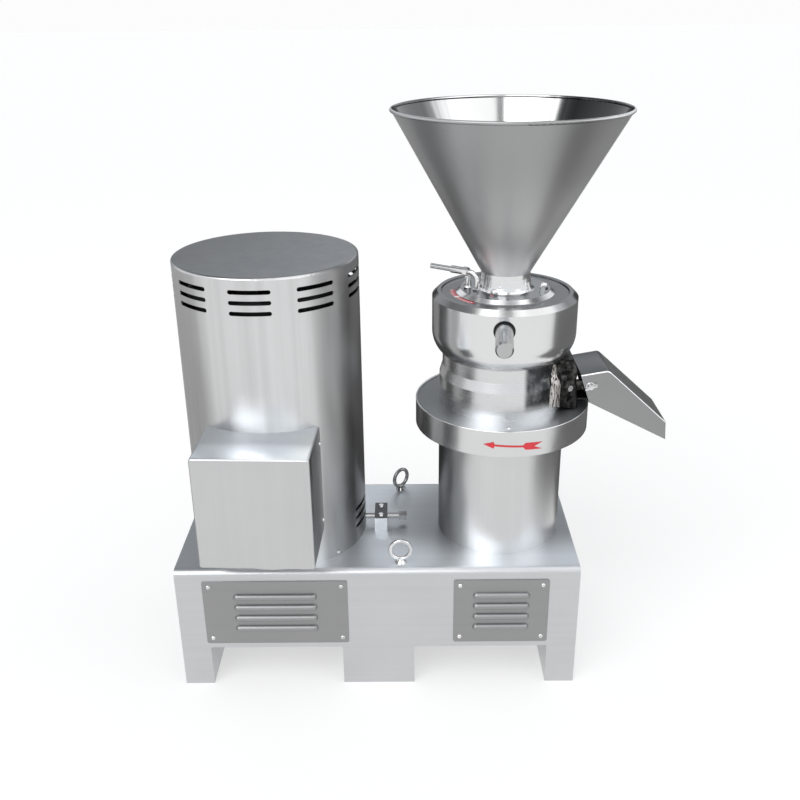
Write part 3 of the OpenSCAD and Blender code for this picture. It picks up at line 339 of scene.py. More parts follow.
# %% Cover finish
def cover_finish(name, wall_tone, lid_reflection_tone, band, right=1.0, flank=1.0, low=1.0):
    """Vertical scratches on the wall and a painted reflection tone on the lid, lighter towards the right.
    The shares are painted shade on the wall where it looks right, on the flank before it, and on that flank
    low down."""
    finish = Finish(name, metallic=1.0)
    x, _, z = finish.place.axes()
    fine = finish.grain(800.0, 3.0, along=along_z, along_rate=5.0)
    broad = finish.grain(45.0, 2.0, along=along_z, along_rate=0.6)
    smudge = finish.grain(7.0, 3.0)
    level = 1.0 + broad.sway(band) + fine.sway(0.10) + smudge.sway(0.08)
    across, _, rise = finish.normal.axes()
    lid = rise.step(0.6, 0.95)
    # Painted shade on the wall where it looks right, on the flank before it, and low down on that flank.
    before_right = across.step(0.48, 0.62)
    shaded_flank = before_right * (1.0 - across.step(0.88, 0.97))
    low_down = before_right * (1.0 - z.step(base_top + 0.08, base_top + 0.34))
    shade = side_shade(finish, right=right) * shaded_flank.dim(flank) * low_down.dim(low)
    wall_colour = (level * shade).tint(grey(wall_tone))
    # Painted reflection on the lid, lighter towards the right.
    lid_reflection_colour = (level * (1.0 + (x - motor_x) * 1.8)).tint(grey(lid_reflection_tone, -0.05))
    finish.plug("Base Color", lid.mix(wall_colour, lid_reflection_colour))
    finish.plug("Roughness", 0.33 + fine.sway(0.12) + smudge.sway(0.10))
    finish.plug("Normal", fine.bump(0.06, 0.0004))
    finishes[name] = finish


# Lid tones are painted reflections; right, flank and low are painted shade.
cover_finish("cover_sheet", wall_tone=0.62, lid_reflection_tone=0.21, band=0.34, flank=0.74, low=0.68)
cover_finish("terminal_sheet", wall_tone=0.55, lid_reflection_tone=0.88, band=0.06, right=0.45)
print("finishes with the covers:", len(finishes))

# %% [markdown]
# ## Turned and polished steel
#
# The tray, chamber and ring are turned on a lathe, so their marks run round the mill's axis. Straight
# scratches would look wrong there, so a streak depends only on the distance from the axis and on the
# height, whatever the angle. Level faces and bevels have tones of their own, painted reflection and
# painted shade, and the chamber is darker beside the spout. The chute is plain dark sheet with a painted
# highlight along its folds.

# %% Turned finishes
lathe_rate = 700.0


def turned(name, tone, rough, streak=0.10, blotch=0.08, top=None, top_rough=0.0, top_front=0.0,
           top_left=1.0, left=1.0, bevel_sides=1.0, dark_from=None):
    """Lathe marks by distance from the axis and height. Faces that look up have their own tone, top, a
    painted reflection, an added roughness, top_rough, a gain towards the front, top_front, which is painted
    light, and a share at the left, top_left, which is painted shade. left is the share of faces that look
    left, bevel_sides that of slanted faces at both sides, both painted shade, and dark_from the distance to
    the right where the chamber turns dark above the tray."""
    finish = Finish(name, metallic=1.0)
    x, y, z = finish.place.axes()
    out = from_mill(finish)
    sine = (x - mill_x) / (out + 0.001)
    marks = finish.place.join(out * lathe_rate, z * lathe_rate, 0.0).noise(3.0)
    smudge = finish.grain(14.0, 4.0)
    level = 1.0 + marks.sway(streak) + smudge.sway(blotch)
    rise = finish.normal.axes()[2]
    bevel = rise.step(0.35, 0.55) * (1.0 - rise.step(0.80, 0.95))
    at_sides = sine.math("ABSOLUTE", sine).step(0.60, 0.80)
    # Painted shade on faces that look left and on slanted faces at both sides.
    side_level = level * side_shade(finish, left) * (bevel * at_sides).dim(bevel_sides)
    # Painted reflection on faces that look up: painted light towards the front, painted shade at the left.
    frontward = (0.0 - y).step(0.02, 0.13)
    leftward = 1.0 - sine.step(-0.85, -0.45)
    top_level = level * (1.0 + top_front * frontward) * leftward.dim(top_left)
    upward = rise.step(0.8, 0.98)
    colour = upward.mix(side_level.tint(grey(tone)), top_level.tint(grey(top or tone, -0.04)))
    # Darker beside the spout and above the tray, in noisy patches.
    if dark_from:
        spot = finish.grain(60.0, 4.0, along=along_z, along_rate=40.0)
        dark_patch = (x - mill_x).step(dark_from, dark_from + 0.012) * (0.78 + 0.22 * spot.step(0.3, 0.6))
        above_tray = z.step(tray_high.z + 0.012, tray_high.z + 0.034)
        colour = (dark_patch * above_tray).mix(colour, grey(0.055, -0.06))
    finish.plug("Base Color", colour)
    finish.plug("Roughness", rough + upward * top_rough + marks.sway(0.08) + smudge.sway(0.12))
    finish.plug("Normal", marks.bump(0.04, 0.0004))
    finishes[name] = finish
    return finish


# The top tones below are painted reflections; left, top_left and bevel_sides are painted shade, top_front
# painted light.
turned("mill_steel", tone=0.66, rough=0.27)
turned("chamber_steel", tone=0.66, rough=0.27, dark_from=0.027)
turned("tray_steel", tone=0.66, rough=0.24, top=0.48, top_rough=0.16, top_front=0.50, top_left=0.45)
turned("ring_steel", tone=0.72, rough=0.20, streak=0.06, top=0.14, left=0.50, bevel_sides=0.30)
turned("plate_steel", tone=0.50, rough=0.22, top=0.12)
turned("handle_steel", tone=0.46, rough=0.24, streak=0.04, blotch=0.16)
turned("polished", tone=0.80, rough=0.12, streak=0.04, blotch=0.05, top=0.40)
turned("collar_steel", tone=0.76, rough=0.18, streak=0.04, blotch=0.05, top=0.20)


def paint_fold_highlight(finish, tone):
    """A painted highlight along folds that look forward and up: there the product of those two parts of the
    normal is largest."""
    forward_part = 0.0 - finish.normal.axes()[1]
    # Painted highlight where the normal looks forward and up.
    fold_highlight = (forward_part * finish.normal.axes()[2]).step(0.14, 0.30)
    under = Wire(finish.tree, finish.surface.inputs["Base Color"].links[0].from_socket)
    finish.plug("Base Color", fold_highlight.mix(under, grey(tone)))


chute_finish = turned("chute_steel", tone=0.30, rough=0.30, streak=0.02, blotch=0.10, top=0.15)
# A painted highlight along the chute's folds.
paint_fold_highlight(chute_finish, 0.95)
print("finishes with the turned ones:", len(finishes))

# %% [markdown]
# ## The hopper
#
# The funnel is polished inside, so that paste slides down, and left satin outside. Two materials would
# need the faces sorted by hand. Here the normal says which side a point is on: outside it leans away from
# the axis, inside it leans towards it. Inside, a painted reflection is light in the middle and dark towards
# the two sides, so the tone follows the sine of the angle about the axis, made streaky by a noise that only
# knows that angle. Outside, painted light brightens both sides, most of all the right, and the foot is
# lighter than the rest.


# %% Hopper finish
def hopper_finish():
    """Satin outside, with painted light on both sides and lighter low down, and near mirror inside with a
    painted reflection, split by the normal's lean from the axis.
    """
    finish = Finish("hopper_sheet", metallic=1.0)
    x, y, z = finish.place.axes()
    nx, ny = finish.normal.axes()[:2]
    lean = (x - mill_x) * nx + y * ny
    outside = lean.step(-0.004, 0.004)
    smudge = finish.grain(8.0, 4.0)
    level = 1.0 + smudge.sway(0.10)
    out = from_mill(finish)
    sine = (x - mill_x) / out
    # Inside: a painted reflection, light in the middle and dark towards both sides, made streaky by noise.
    streak = finish.place.join(sine * 14.0, y / out * 14.0, 0.0).noise(3.0, 0.6)
    ragged = sine + streak.sway(0.22)
    shade_right = ragged.step(0.29, 0.68)
    shade_left = 1.0 - ragged.step(-0.80, -0.40)
    inner_colour = (level * shade_right.dim(0.07) * shade_left.dim(0.20)).tint(grey(0.78))
    # Outside: painted light on both sides, most of all on the right.
    on_right = sine.step(0.38, 0.80)
    on_left = 1.0 - sine.step(-0.75, -0.30)
    low_down = 1.0 - z.step(hopper_foot + 0.06, hopper_foot + 0.24)
    foot = (1.0 - z.step(hopper_foot, hopper_foot + 0.10)) * sine.step(-0.70, -0.45) * (1.0 - on_right)
    outer_level = level * (1.0 + 1.5 * on_right + 0.5 * on_left) * (1.0 + 0.38 * low_down + 1.35 * foot)
    outer_colour = outer_level.tint(grey(0.345))
    finish.plug("Base Color", outside.mix(inner_colour, outer_colour))
    finish.plug("Metallic", (foot * outside).dim(0.5))
    finish.plug("Roughness", 0.14 + outside * 0.24 + smudge.sway(0.08))
    finishes["hopper_sheet"] = finish


hopper_finish()
print("finishes with the hopper:", len(finishes))

# %% [markdown]
# ## Castings, bolts, paint and rubber
#
# The spout is a rough casting that carries some grime, so its tone follows a blotchy noise. Bolts are
# bright; a darker copy of their finish is painted shade, and so is the near black of the fan cowl. The
# motor is painted, and the belts and the seal are black rubber with a dusty bloom. Each could be one flat
# colour, but nothing real is that even, so two close colours are mixed by noise.


# %% Plain finishes
def blotched(name, dark, light, rough, metallic=1.0, rate=40.0, height=0.0):
    """Two colours mixed by a blotchy noise, with a matching roughness and, if height is set, a relief."""
    finish = Finish(name, metallic=metallic)
    patch = finish.grain(rate, 5.0, 0.6)
    finish.plug("Base Color", patch.step(0.35, 0.65).mix(dark, light))
    finish.plug("Roughness", rough + patch.sway(0.2))
    if height:
        finish.plug("Normal", patch.bump(height, 0.001))
    finishes[name] = finish


blue_dark = (0.10, 0.16, 0.20, 1.0)
blue_light = (0.12, 0.19, 0.23, 1.0)
red_dark = (0.50, 0.020, 0.030, 1.0)
red_light = (0.58, 0.030, 0.042, 1.0)
blotched("cast", grey(0.16), grey(0.34), rough=0.45, rate=60.0, height=0.15)
blotched("bolts", grey(0.62), grey(0.74), rough=0.20)
# A darker copy of the bolts finish: painted shade for the tension bolt and the rear eye bolt.
blotched("shaded_bolts", grey(0.30), grey(0.38), rough=0.12)
# Near black: painted shade for the fan cowl seen through the vent slots.
blotched("cowl_painted_shade", grey(0.010), grey(0.014), rough=0.6, metallic=0.0)
blotched("motor_paint", blue_dark, blue_light, rough=0.45, metallic=0.0)
blotched("fan_plastic", grey(0.03), grey(0.04), rough=0.5, metallic=0.0)
blotched("belt_rubber", grey(0.018), grey(0.03), rough=0.7, metallic=0.0)
blotched("seal_rubber", grey(0.015), grey(0.025), rough=0.6, metallic=0.0)
blotched("red_print", red_dark, red_light, rough=0.45, metallic=0.0)
print("finishes with the plain ones:", len(finishes))

# %% [markdown]
# A painted highlight runs over the spout's grime in a strip inside the edge of its flange. The strip could
# be painted by hand on a map. A formula is shorter: the edge narrows upward by a smooth step, and the strip
# lies beside it.

# %% Worn casting
flange_wide = 0.0965
flange_narrow = 0.0815
flange_from = 0.615
flange_to = 0.690
strip_low = 0.0115
strip_high = 0.0020


def grimy_cast_with_highlight():
    """Grime in blotches, with a painted highlight in a strip inside the flange's edge. The edge moves in
    with the height by a smooth step, and the strip narrows with it."""
    finish = Finish("grimy_cast", metallic=1.0)
    _, y, z = finish.place.axes()
    patch = finish.grain(85.0, 5.0, 0.6)
    speck = finish.grain(300.0, 4.0, 0.7, along=along_z, along_rate=55.0)
    risen = z.step(flange_from, flange_to)
    edge = flange_wide - (flange_wide - flange_narrow) * risen
    strip = strip_low - (strip_low - strip_high) * risen
    inside = y.math("ABSOLUTE", y) - edge + strip
    # A painted highlight in the strip inside the flange's edge.
    painted_highlight = inside.step(-0.001, 0.0015) * speck.step(0.40, 0.54)
    grime = patch.step(0.38, 0.72).mix(grey(0.006), grey(0.10, 0.04))
    finish.plug("Base Color", painted_highlight.mix(grime, grey(0.56, 0.05)))
    finish.plug("Roughness", 0.42 + patch.sway(0.3))
    finish.plug("Normal", (patch + speck * 0.4).bump(0.5, 0.001))
    finishes["grimy_cast"] = finish


grimy_cast_with_highlight()
print("finishes for the parts:", len(finishes))

# %% [markdown]
# ## Dress the solid parts
#
# Each part takes the finish of the piece of metal that it is. A dictionary from finish to parts keeps
# the choice readable, and the last line prints the names of parts that were forgotten.

# %% Give every part its finish
dress = {
    "base_sheet": "base_frame end_panel_left end_panel_right leg_channels",
    "bracket_sheet": "tension_bracket",
    "panel_sheet": "vent_panel_left vent_panel_right",
    "column_sheet": "column_shell",
    "cover_sheet": "motor_cover",
    "terminal_sheet": "terminal_cover",
    "tray_steel": "drip_tray",
    "chamber_steel": "grinding_chamber",
    "mill_steel": "stator_carrier stator grinding_rotor rotor_nut",
    "ring_steel": "adjusting_ring",
    "plate_steel": "scale_plate",
    "handle_steel": "handle_front handle_rear",
    "polished": "acorn_nuts water_inlet water_outlet",
    "collar_steel": "hopper_collar",
    "hopper_sheet": "hopper",
    "chute_steel": "discharge_chute",
    "grimy_cast": "discharge_spout",
    "cast": "bearing_housing bearing_cap driven_pulley motor_pulley motor_base_plate",
    "bolts": "panel_screws eye_bolt_front bracket_screws chamber_screws wing_bolts wing_nuts"
    " upper_outer_ring lower_outer_ring upper_inner_ring lower_inner_ring upper_balls lower_balls"
    " cover_screws motor_shaft spindle_shaft motor_pulley_bolt driven_pulley_bolt",
    "shaded_bolts": "tension_bolt tension_nut eye_bolt_rear",
    "motor_paint": "motor_flange motor_housing terminal_box",
    "cowl_painted_shade": "fan_cowl",
    "fan_plastic": "motor_fan",
    "belt_rubber": "drive_belts",
    "seal_rubber": "shaft_seal",
}
dressed = {}
for finish_name, names in dress.items():
    for name in names.split():
        dressed[name] = finish_name
        mesh = nodes[name].data
        if not mesh.materials:
            mesh.materials.append(None)
        for index in range(len(mesh.materials)):
            mesh.materials[index] = finishes[finish_name].material
print("dressed", len(dressed), "parts, left over:", sorted(set(nodes) - set(dressed)))

# %% [markdown]
# ## Weaving surfaces from grids
#
# A sheet part is a grid of points: one parameter runs along the sheet and one across it. It could be
# modelled by hand, but a formula keeps its sizes in sight. `weave` turns such grids into one mesh, joins
# rows and columns that close on themselves, and melts poles together.


# %% The weave helper
def grid_quads(rows, cols, loop_rows, loop_cols):
    """Corner numbers of every cell of a grid, going round at the ends where it loops."""
    i = np.arange(rows if loop_rows else rows - 1)
    j = np.arange(cols if loop_cols else cols - 1)
    i, j = np.meshgrid(i, j, indexing="ij")
    next_i = (i + 1) % rows
    next_j = (j + 1) % cols
    corners = [i * cols + j, i * cols + next_j, next_i * cols + next_j, next_i * cols + j]
    return np.stack(corners, -1).reshape(-1, 4)


def weave(name, sheets, finish_name, outward=True, sharp=38.0):
    """One mesh object from sheets, each a grid of points and whether its rows and columns loop."""
    points = []
    quads = []
    count = 0
    for grid, loop_rows, loop_cols in sheets:
        rows, cols = grid.shape[:2]
        points.append(grid.reshape(-1, 3))
        quads.append(grid_quads(rows, cols, loop_rows, loop_cols) + count)
        count += rows * cols
    mesh = bpy.data.meshes.new(name)
    mesh.from_pydata(np.concatenate(points).tolist(), [], np.concatenate(quads).tolist())
    work = bmesh.new()
    work.from_mesh(mesh)
    bmesh.ops.remove_doubles(work, verts=work.verts, dist=1e-6)
    if outward:
        bmesh.ops.recalc_face_normals(work, faces=work.faces)
    work.to_mesh(mesh)
    work.free()
    mesh.polygons.foreach_set("use_smooth", np.ones(len(mesh.polygons), bool))
    mesh.set_sharp_from_angle(angle=math.radians(sharp))
    mesh.materials.append(finishes[finish_name].material)
    piece = bpy.data.objects.new(name, mesh)
    scene.collection.objects.link(piece)
    print(name, "points", len(mesh.vertices), "faces", len(mesh.polygons))
    return piece


def thicken(piece, thickness):
    """Give an open sheet its metal thickness, inward from the surface that was drawn."""
    solid = piece.modifiers.new("thickness", "SOLIDIFY")
    solid.thickness = thickness
    solid.offset = -1.0
    return piece


def full_turn(steps):
    """Angles that go round once, without the last, which is the first again."""
    return np.linspace(0.0, 2 * math.pi, steps, endpoint=False)


def four_corners(steps):
    """Angles round four quarter circles, and on which side each corner lies, 1 or -1, across and up."""
    quarter = np.linspace(0.0, math.pi / 2, steps)
    angle = (quarter[None, :] + np.arange(4)[:, None] * math.pi / 2).ravel()
    return angle, np.repeat([1, -1, -1, 1], steps), np.repeat([1, 1, -1, -1], steps)


def round_corner_box(width, height, radius, steps=6):
    """Outline of a rectangle with round corners, as points about its middle, going round once."""
    angle, side, top = four_corners(steps)
    x = side * (width / 2 - radius) + radius * np.cos(angle)
    y = top * (height / 2 - radius) + radius * np.sin(angle)
    return np.stack([x, y], -1)


def turn_about(points, x, y, degrees):
    """Points turned about a vertical axis through x and y."""
    c = math.cos(math.radians(degrees))
    s = math.sin(math.radians(degrees))
    spin = np.array([[c, s, 0.0], [-s, c, 0.0], [0.0, 0.0, 1.0]])
    middle = np.array([x, y, 0.0])
    return (points - middle) @ spin + middle


print("weaving tools ready")

# %% [markdown]
# ## The terminal cover
#
# This box on the drum is folded from sheet. A cube with a bevel could stand in for it, but would not end
# on the drum. Its outline is a rectangle with small round corners. The front edge is a quarter circle, so
# each row of the grid is the outline drawn in by one minus the sine and set back by one minus the cosine
# of an angle. The last row is cut to the drum's curve.

# %% Fold the terminal cover
cover_turn = -2.4
term_w = 0.219
term_h = 0.230
term_front = 0.290
term_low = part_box("terminal_cover")[0].z
term_edge = 0.004
term_corner = 0.006
term_gap = 0.0006
sheet_t = 0.002


def terminal_cover():
    """Rows: a point in the front's middle, the flat, the rounded edge, and the wall back to the drum."""
    arc = np.linspace(0.0, math.pi / 2, 6)
    draw_in = term_edge * (1 - np.sin(arc))
    set_back = term_edge * (1 - np.cos(arc))
    rows = []
    for inset in draw_in:
        radius = term_corner - inset
        rows.append(round_corner_box(term_w - 2 * inset, term_h - 2 * inset, radius))
    outline = np.stack(rows)
    middle = np.zeros_like(outline[:1])
    wall = outline[-1:]
    flat = np.concatenate([middle, outline, wall])
    x = flat[..., 0]
    z = flat[..., 1] + term_low + term_h / 2
    y = np.full_like(x, -term_front)
    y[1:-1] += set_back[:, None]
    y[-1] = -np.sqrt((cover_r + term_gap) ** 2 - x[-1] ** 2)
    grid = turn_about(np.stack([x + motor_x, y, z], -1), motor_x, 0.0, cover_turn)
    return weave("terminal_cover_sheet", [(grid, False, True)], "terminal_sheet")


terminal_piece = thicken(terminal_cover(), sheet_t)
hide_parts("terminal_cover")
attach(terminal_piece, "motor_carriage")

# %% [markdown]
# ## The discharge chute
#
# The chute is a duct of bent sheet. A box with its corners dragged would have sharp folds, so it is worked
# out from its side view, a floor line and a roof line with one bend. A row of the grid is a rectangle
# with small round corners that stands between the floor and the roof, and the rows run down the chute.
# Close rows at the bend round it off, and one near each end keeps the shading of the long walls even.

# %% Bend the chute
chute_w = 0.118
chute_fold = 0.003
floor_points = np.array([[0.169, 0.016], [0.329, -0.067]])
roof_points = np.array([[0.149, 0.075], [0.204, 0.0845], [0.326, -0.027]])
roof_bend = 0.33
roof_soft = 0.03
bend_steps = np.linspace(roof_bend - roof_soft, roof_bend + roof_soft, 7)
chute_steps = np.concatenate([[0.0, 0.015, 0.25], bend_steps, [0.45, 0.7, 0.99, 1.0]])
tray_top = 0.572


def chute_surface():
    """Floor by straight mixing, roof by two straight lines joined by a parabola at the bend."""
    t = chute_steps[:, None]
    floor = floor_points[0] + t * (floor_points[1] - floor_points[0])
    before = roof_points[0] + t / roof_bend * (roof_points[1] - roof_points[0])
    after = roof_points[1] + (t - roof_bend) / (1 - roof_bend) * (roof_points[2] - roof_points[1])
    share = np.clip((t - roof_bend + roof_soft) / (2 * roof_soft), 0.0, 1.0)
    slope_in = (roof_points[1] - roof_points[0]) / roof_bend
    slope_out = (roof_points[2] - roof_points[1]) / (1 - roof_bend)
    start = roof_points[0] + (roof_bend - roof_soft) / roof_bend * (roof_points[1] - roof_points[0])
    curve = start + 2 * roof_soft * (share * slope_in + share**2 / 2 * (slope_out - slope_in))
    roof = np.where(share <= 0.0, before, np.where(share >= 1.0, after, curve))
    tall = np.linalg.norm(roof - floor, axis=1)[:, None]
    angle, side, top = four_corners(5)
    y = side * (chute_w / 2 - chute_fold) + chute_fold * np.cos(angle)
    lift = tall / 2 + top * (tall / 2 - chute_fold) + chute_fold * np.sin(angle)
    way = (roof - floor) / tall
    x = floor[:, :1] + lift * way[:, :1] + mill_x
    z = floor[:, 1:] + lift * way[:, 1:] + tray_top
    return np.stack([x, np.broadcast_to(y, x.shape), z], -1)


chute_piece = weave("chute_sheet", [(chute_surface(), False, True)], "chute_steel")
thicken(chute_piece, sheet_t)
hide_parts("discharge_chute")
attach(chute_piece, "chute")

# %% [markdown]
# ## The discharge spout
#
# The spout is a casting that clasps the chamber with a rounded flange and narrows to a square mouth. It
# could be cut from blocks, but a casting has soft changes of shape, so it is drawn by its plans. At each
# height the plan is one line: from the chamber out over the flange, along the side wall, round the corner
# and across the mouth, and the same mirrored. The rows of the grid are these plans at rising heights. A
# second grid follows the chamber behind it, and strips close the head, the foot and the mouth.

# %% Plans of the spout
spout_foot = 0.5785
spout_head = 0.6795
sill_z = 0.586
lip_z = 0.640
mouth_low = 0.595
mouth_high = 0.632
mouth_half = 0.054
mouth_rows = np.linspace(mouth_low, mouth_high, 6)
lip_rows = np.linspace(lip_z, spout_head, 7)
spout_z = np.concatenate([[spout_foot, sill_z], mouth_rows, lip_rows])

# The chamber's cone behind the spout, the reach of the spout's front, and its half width at lip and head.
cone_heights = (0.636, 0.656)
cone_radii = (0.1275, 0.1215)
front_heights = (0.578, 0.605, 0.639, 0.651, spout_head)
front_reaches = (0.1455, 0.1440, 0.1410, 0.1440, 0.1345)
front_halves = (0.061, 0.054)

flange_out = 0.008
flange_thinner = 0.7
flange_face = 0.018
flange_lift = 0.017
lift_from = 0.062
lift_to = 0.096
crown_in = 0.003
edge_bulge = 0.0005
edge_drop = 0.3
chamber_gap = 0.0003
corner_r = 0.005
mouth_wall = 0.001


def polar(radius, y):
    """The point with a given y on a circle about the mill's axis: x is the other leg of the triangle."""
    return np.stack([np.sqrt(radius**2 - y**2), y], -1)


def smooth_step(value, low, high):
    """0 below low, 1 above high, and three squares less two cubes of the share between them."""
    share = np.clip((value - low) / (high - low), 0.0, 1.0)
    return share**2 * (3 - 2 * share)


def spout_plans(z):
    """Outer and inner line of the plan at every height, the front half first and then its mirror image. The
    inner line is the outer one drawn in to the chamber's radius."""
    chamber = np.interp(z, cone_heights, cone_radii) + chamber_gap
    risen = smooth_step(z, flange_from, flange_to)
    rim = chamber + flange_out * (1 - flange_thinner * risen)
    root = flange_wide - (flange_wide - flange_narrow) * risen
    end_x = np.interp(z, front_heights, front_reaches)
    end_w = np.interp(z, (lip_z, spout_head), front_halves)
    foot = polar(chamber, -root)
    edge = polar(rim - edge_drop * (rim - chamber), -root - edge_bulge)
    crown = polar(rim, -root + crown_in)
    inside = polar(rim, -root + flange_face)
    corner = np.stack([end_x, -end_w], -1)
    wall_way = corner - inside
    wall_way /= np.linalg.norm(wall_way, axis=-1, keepdims=True)
    turn_in = corner - corner_r * wall_way
    turn_out = corner + np.array([0.0, corner_r])
    turn_mid = 0.25 * turn_in + 0.5 * corner + 0.25 * turn_out
    mouth = np.stack([end_x, -np.minimum(mouth_half, end_w - corner_r - mouth_wall)], -1)
    half = np.stack([foot, edge, crown, inside, turn_in, turn_mid, turn_out, mouth], 1)
    outer = np.concatenate([half, half[:, ::-1] * np.array([1.0, -1.0])], 1)
    inner = outer / np.linalg.norm(outer, axis=-1, keepdims=True) * chamber[:, None, None]
    return outer, inner


def lift_plan(plan, z):
    """Plan points set to their heights and moved to the mill's axis. The foot rises towards the flange's
    edge, so the heights there are squeezed towards the head."""
    foot = spout_foot + flange_lift * smooth_step(np.abs(plan[..., 1]), lift_from, lift_to)
    squeeze = (spout_head - foot) / (spout_head - spout_foot)
    height = spout_head - (spout_head - z[:, None]) * squeeze
    return np.stack([plan[..., 0] + mill_x, plan[..., 1], height], -1)


print("spout plans at", len(spout_z), "heights")


# %% Cast the spout
def spout_sheets():
    """The outer and the inner wall without the mouth, and the strips that join them at the foot, at the
    head and round the mouth."""
    outer_plan, inner_plan = spout_plans(spout_z)
    outer = lift_plan(outer_plan, spout_z)
    inner = lift_plan(inner_plan, spout_z)
    left = outer.shape[1] // 2 - 1
    right = left + 1
    low = int(np.argmin(np.abs(spout_z - mouth_low)))
    high = int(np.argmin(np.abs(spout_z - mouth_high)))
    across = slice(left, right + 1)
    upward = slice(low, high + 1)
    both = np.stack([outer, inner])
    sheets = []
    for wall in both:
        sheets += [wall[:, : left + 1], wall[:, right:], wall[: low + 1, across], wall[high:, across]]
    sheets += [both[:, 0], both[:, -1]]
    sheets += [both[:, upward, left], both[:, upward, right]]
    sheets += [both[:, low, across], both[:, high, across]]
    return [(sheet, False, False) for sheet in sheets]


lug_half = 0.009
lug_y = (0.050, 0.0565)
lug_x = (0.128, 0.169)
lug_z = 0.625
tongue_x = 0.176
tongue_t = 0.003


def plate(outline, y_from, y_to):
    """A flat plate: an outline in x and z, set at two values of y and closed by its middle on each face."""
    middle = np.broadcast_to(outline.mean(0), outline.shape)
    rows = []
    for flat, y in ((middle, y_from), (outline, y_from), (outline, y_to), (middle, y_to)):
        rows.append(np.stack([flat[:, 0] + mill_x, np.full(len(flat), y), flat[:, 1]], -1))
    return np.stack(rows), False, True


def lug_outline():
    """A bar with a half round end."""
    swing = np.linspace(-math.pi / 2, math.pi / 2, 15)
    arc = np.stack([lug_x[1] + lug_half * np.cos(swing), lug_z + lug_half * np.sin(swing)], -1)
    back = np.array([[lug_x[0], lug_z + lug_half], [lug_x[0], lug_z - lug_half]])
    return np.concatenate([arc, back])


tongue_outline = np.array([
    [lug_x[0], mouth_low - tongue_t],
    [tongue_x, mouth_low - tongue_t],
    [tongue_x, mouth_low],
    [lug_x[0], mouth_low],
])
spout_parts = spout_sheets()
spout_parts += [plate(lug_outline(), side * lug_y[0], side * lug_y[1]) for side in (-1, 1)]
spout_parts += [plate(tongue_outline, -lug_y[0], lug_y[0])]
spout_piece = weave("spout_casting", spout_parts, "grimy_cast")
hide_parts("discharge_spout")
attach(spout_piece, "base")

# %% [markdown]
# ## Pan-head screws
#
# The vent panels are held by small screws with a cross in the head. A Boolean could cut the cross, but it
# leaves ragged faces. Here a head is a disc of rings: the height falls from the crown to the rim as one
# minus a power of the radius, and the cross is pressed in where a point lies near either of two lines.
# The same grid is then set down at every place where a screw sits.

# %% Press the screw heads
crown_fall = 0.75
slot_soft = 1.6
slot_reach = 0.68
slot_fade = 0.1


def pan_head(radius, height, slot_half, depth):
    """Rings from the crown to the rim, down the side and back to the middle underneath."""
    turns = full_turn(48)
    ring = np.linspace(0.0, 1.0, 15)
    r, a = np.meshgrid(ring * radius, turns, indexing="ij")
    x = r * np.cos(a)
    y = r * np.sin(a)
    crown = height * (1 - crown_fall * (r / radius) ** 3)
    near = np.minimum(np.abs(x), np.abs(y)) / slot_half
    in_reach = np.clip((slot_reach * radius - r) / (slot_fade * radius), 0.0, 1.0)
    press = np.clip(slot_soft - near, 0.0, 1.0) * in_reach
    top = np.stack([x, y, crown - depth * press], -1)
    foot = np.stack([x[-1:], y[-1:], np.zeros_like(x[-1:])], -1)
    under = np.zeros_like(foot)
    return np.concatenate([top, foot, under])


def place_heads(head, spots):
    """The head at every spot: a spot is the foot's middle and the way that the head looks."""
    sheets = []
    for middle, look in spots:
        turn_to = np.array(Vector(look).to_track_quat("Z", "Y").to_matrix())
        sheets.append((head @ turn_to.T + np.array(middle), False, True))
    return sheets


screw_inset = 0.013
head_t = 0.00225
head_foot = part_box("panel_screws")[0].y + head_t
panel_spots = []
for panel in ("vent_panel_left", "vent_panel_right"):
    low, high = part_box(panel)
    for x in (low.x + screw_inset, high.x - screw_inset):
        for z in (low.z + screw_inset, high.z - screw_inset):
            panel_spots.append(((x, head_foot, z), (0, -1, 0)))
small_head = pan_head(radius=0.0045, height=0.0026, slot_half=0.0007, depth=0.0014)
panel_heads = weave("panel_screw_heads", place_heads(small_head, panel_spots), "bolts")
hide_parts("panel_screws")
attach(panel_heads, "base")

# %% [markdown]
# ## Shadow gaps at the handles
#
# Each handle stands in a recess of the ring. The bottom of the recess lies in shadow. The ring's finish
# could be darkened there, but a lining has a clean edge, so a flat ring of dark finish lies there as a
# painted shadow: points at two radii about the handle's own axis.

# %% Line the recesses
handle_turn = math.radians(-5.6)
recess_out = 0.1394
recess_low = 0.0166
recess_high = 0.0204
recess_t = 0.0005
handle_z = box_middle("handle_front").z


def recess_ring(angle):
    """A flat ring square to the handle's axis: middle plus a radius times cosine sideways and sine up."""
    axis = np.array([math.sin(angle), -math.cos(angle), 0.0])
    side = np.array([math.cos(angle), math.sin(angle), 0.0])
    rise = np.array([0.0, 0.0, 1.0])
    middle = np.array([mill_x, 0.0, handle_z]) + recess_out * axis
    swing = full_turn(48)[None, :, None]
    radius = np.array([recess_low, recess_high])[:, None, None]
    return middle + radius * (np.cos(swing) * side + np.sin(swing) * rise), False, True


recess_rings = [recess_ring(handle_turn), recess_ring(handle_turn + math.pi)]
# A dark lining in each recess: a painted shadow.
recess_shadow_piece = weave("handle_recess_shadows", recess_rings, "seal_rubber")
thicken(recess_shadow_piece, recess_t)
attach(recess_shadow_piece, "ring")

# %% [markdown]
# ## The tray's rolled edge
#
# The tray's rim is rolled smooth, so a thin light runs round it. A bevel on the tray would round its other
# edges too, so the bead is a piece of its own. It is a torus: a small circle carried round a large one,
# the same formula as a ring on a finger.

# %% Roll the tray's edge
bead_r = 0.0016


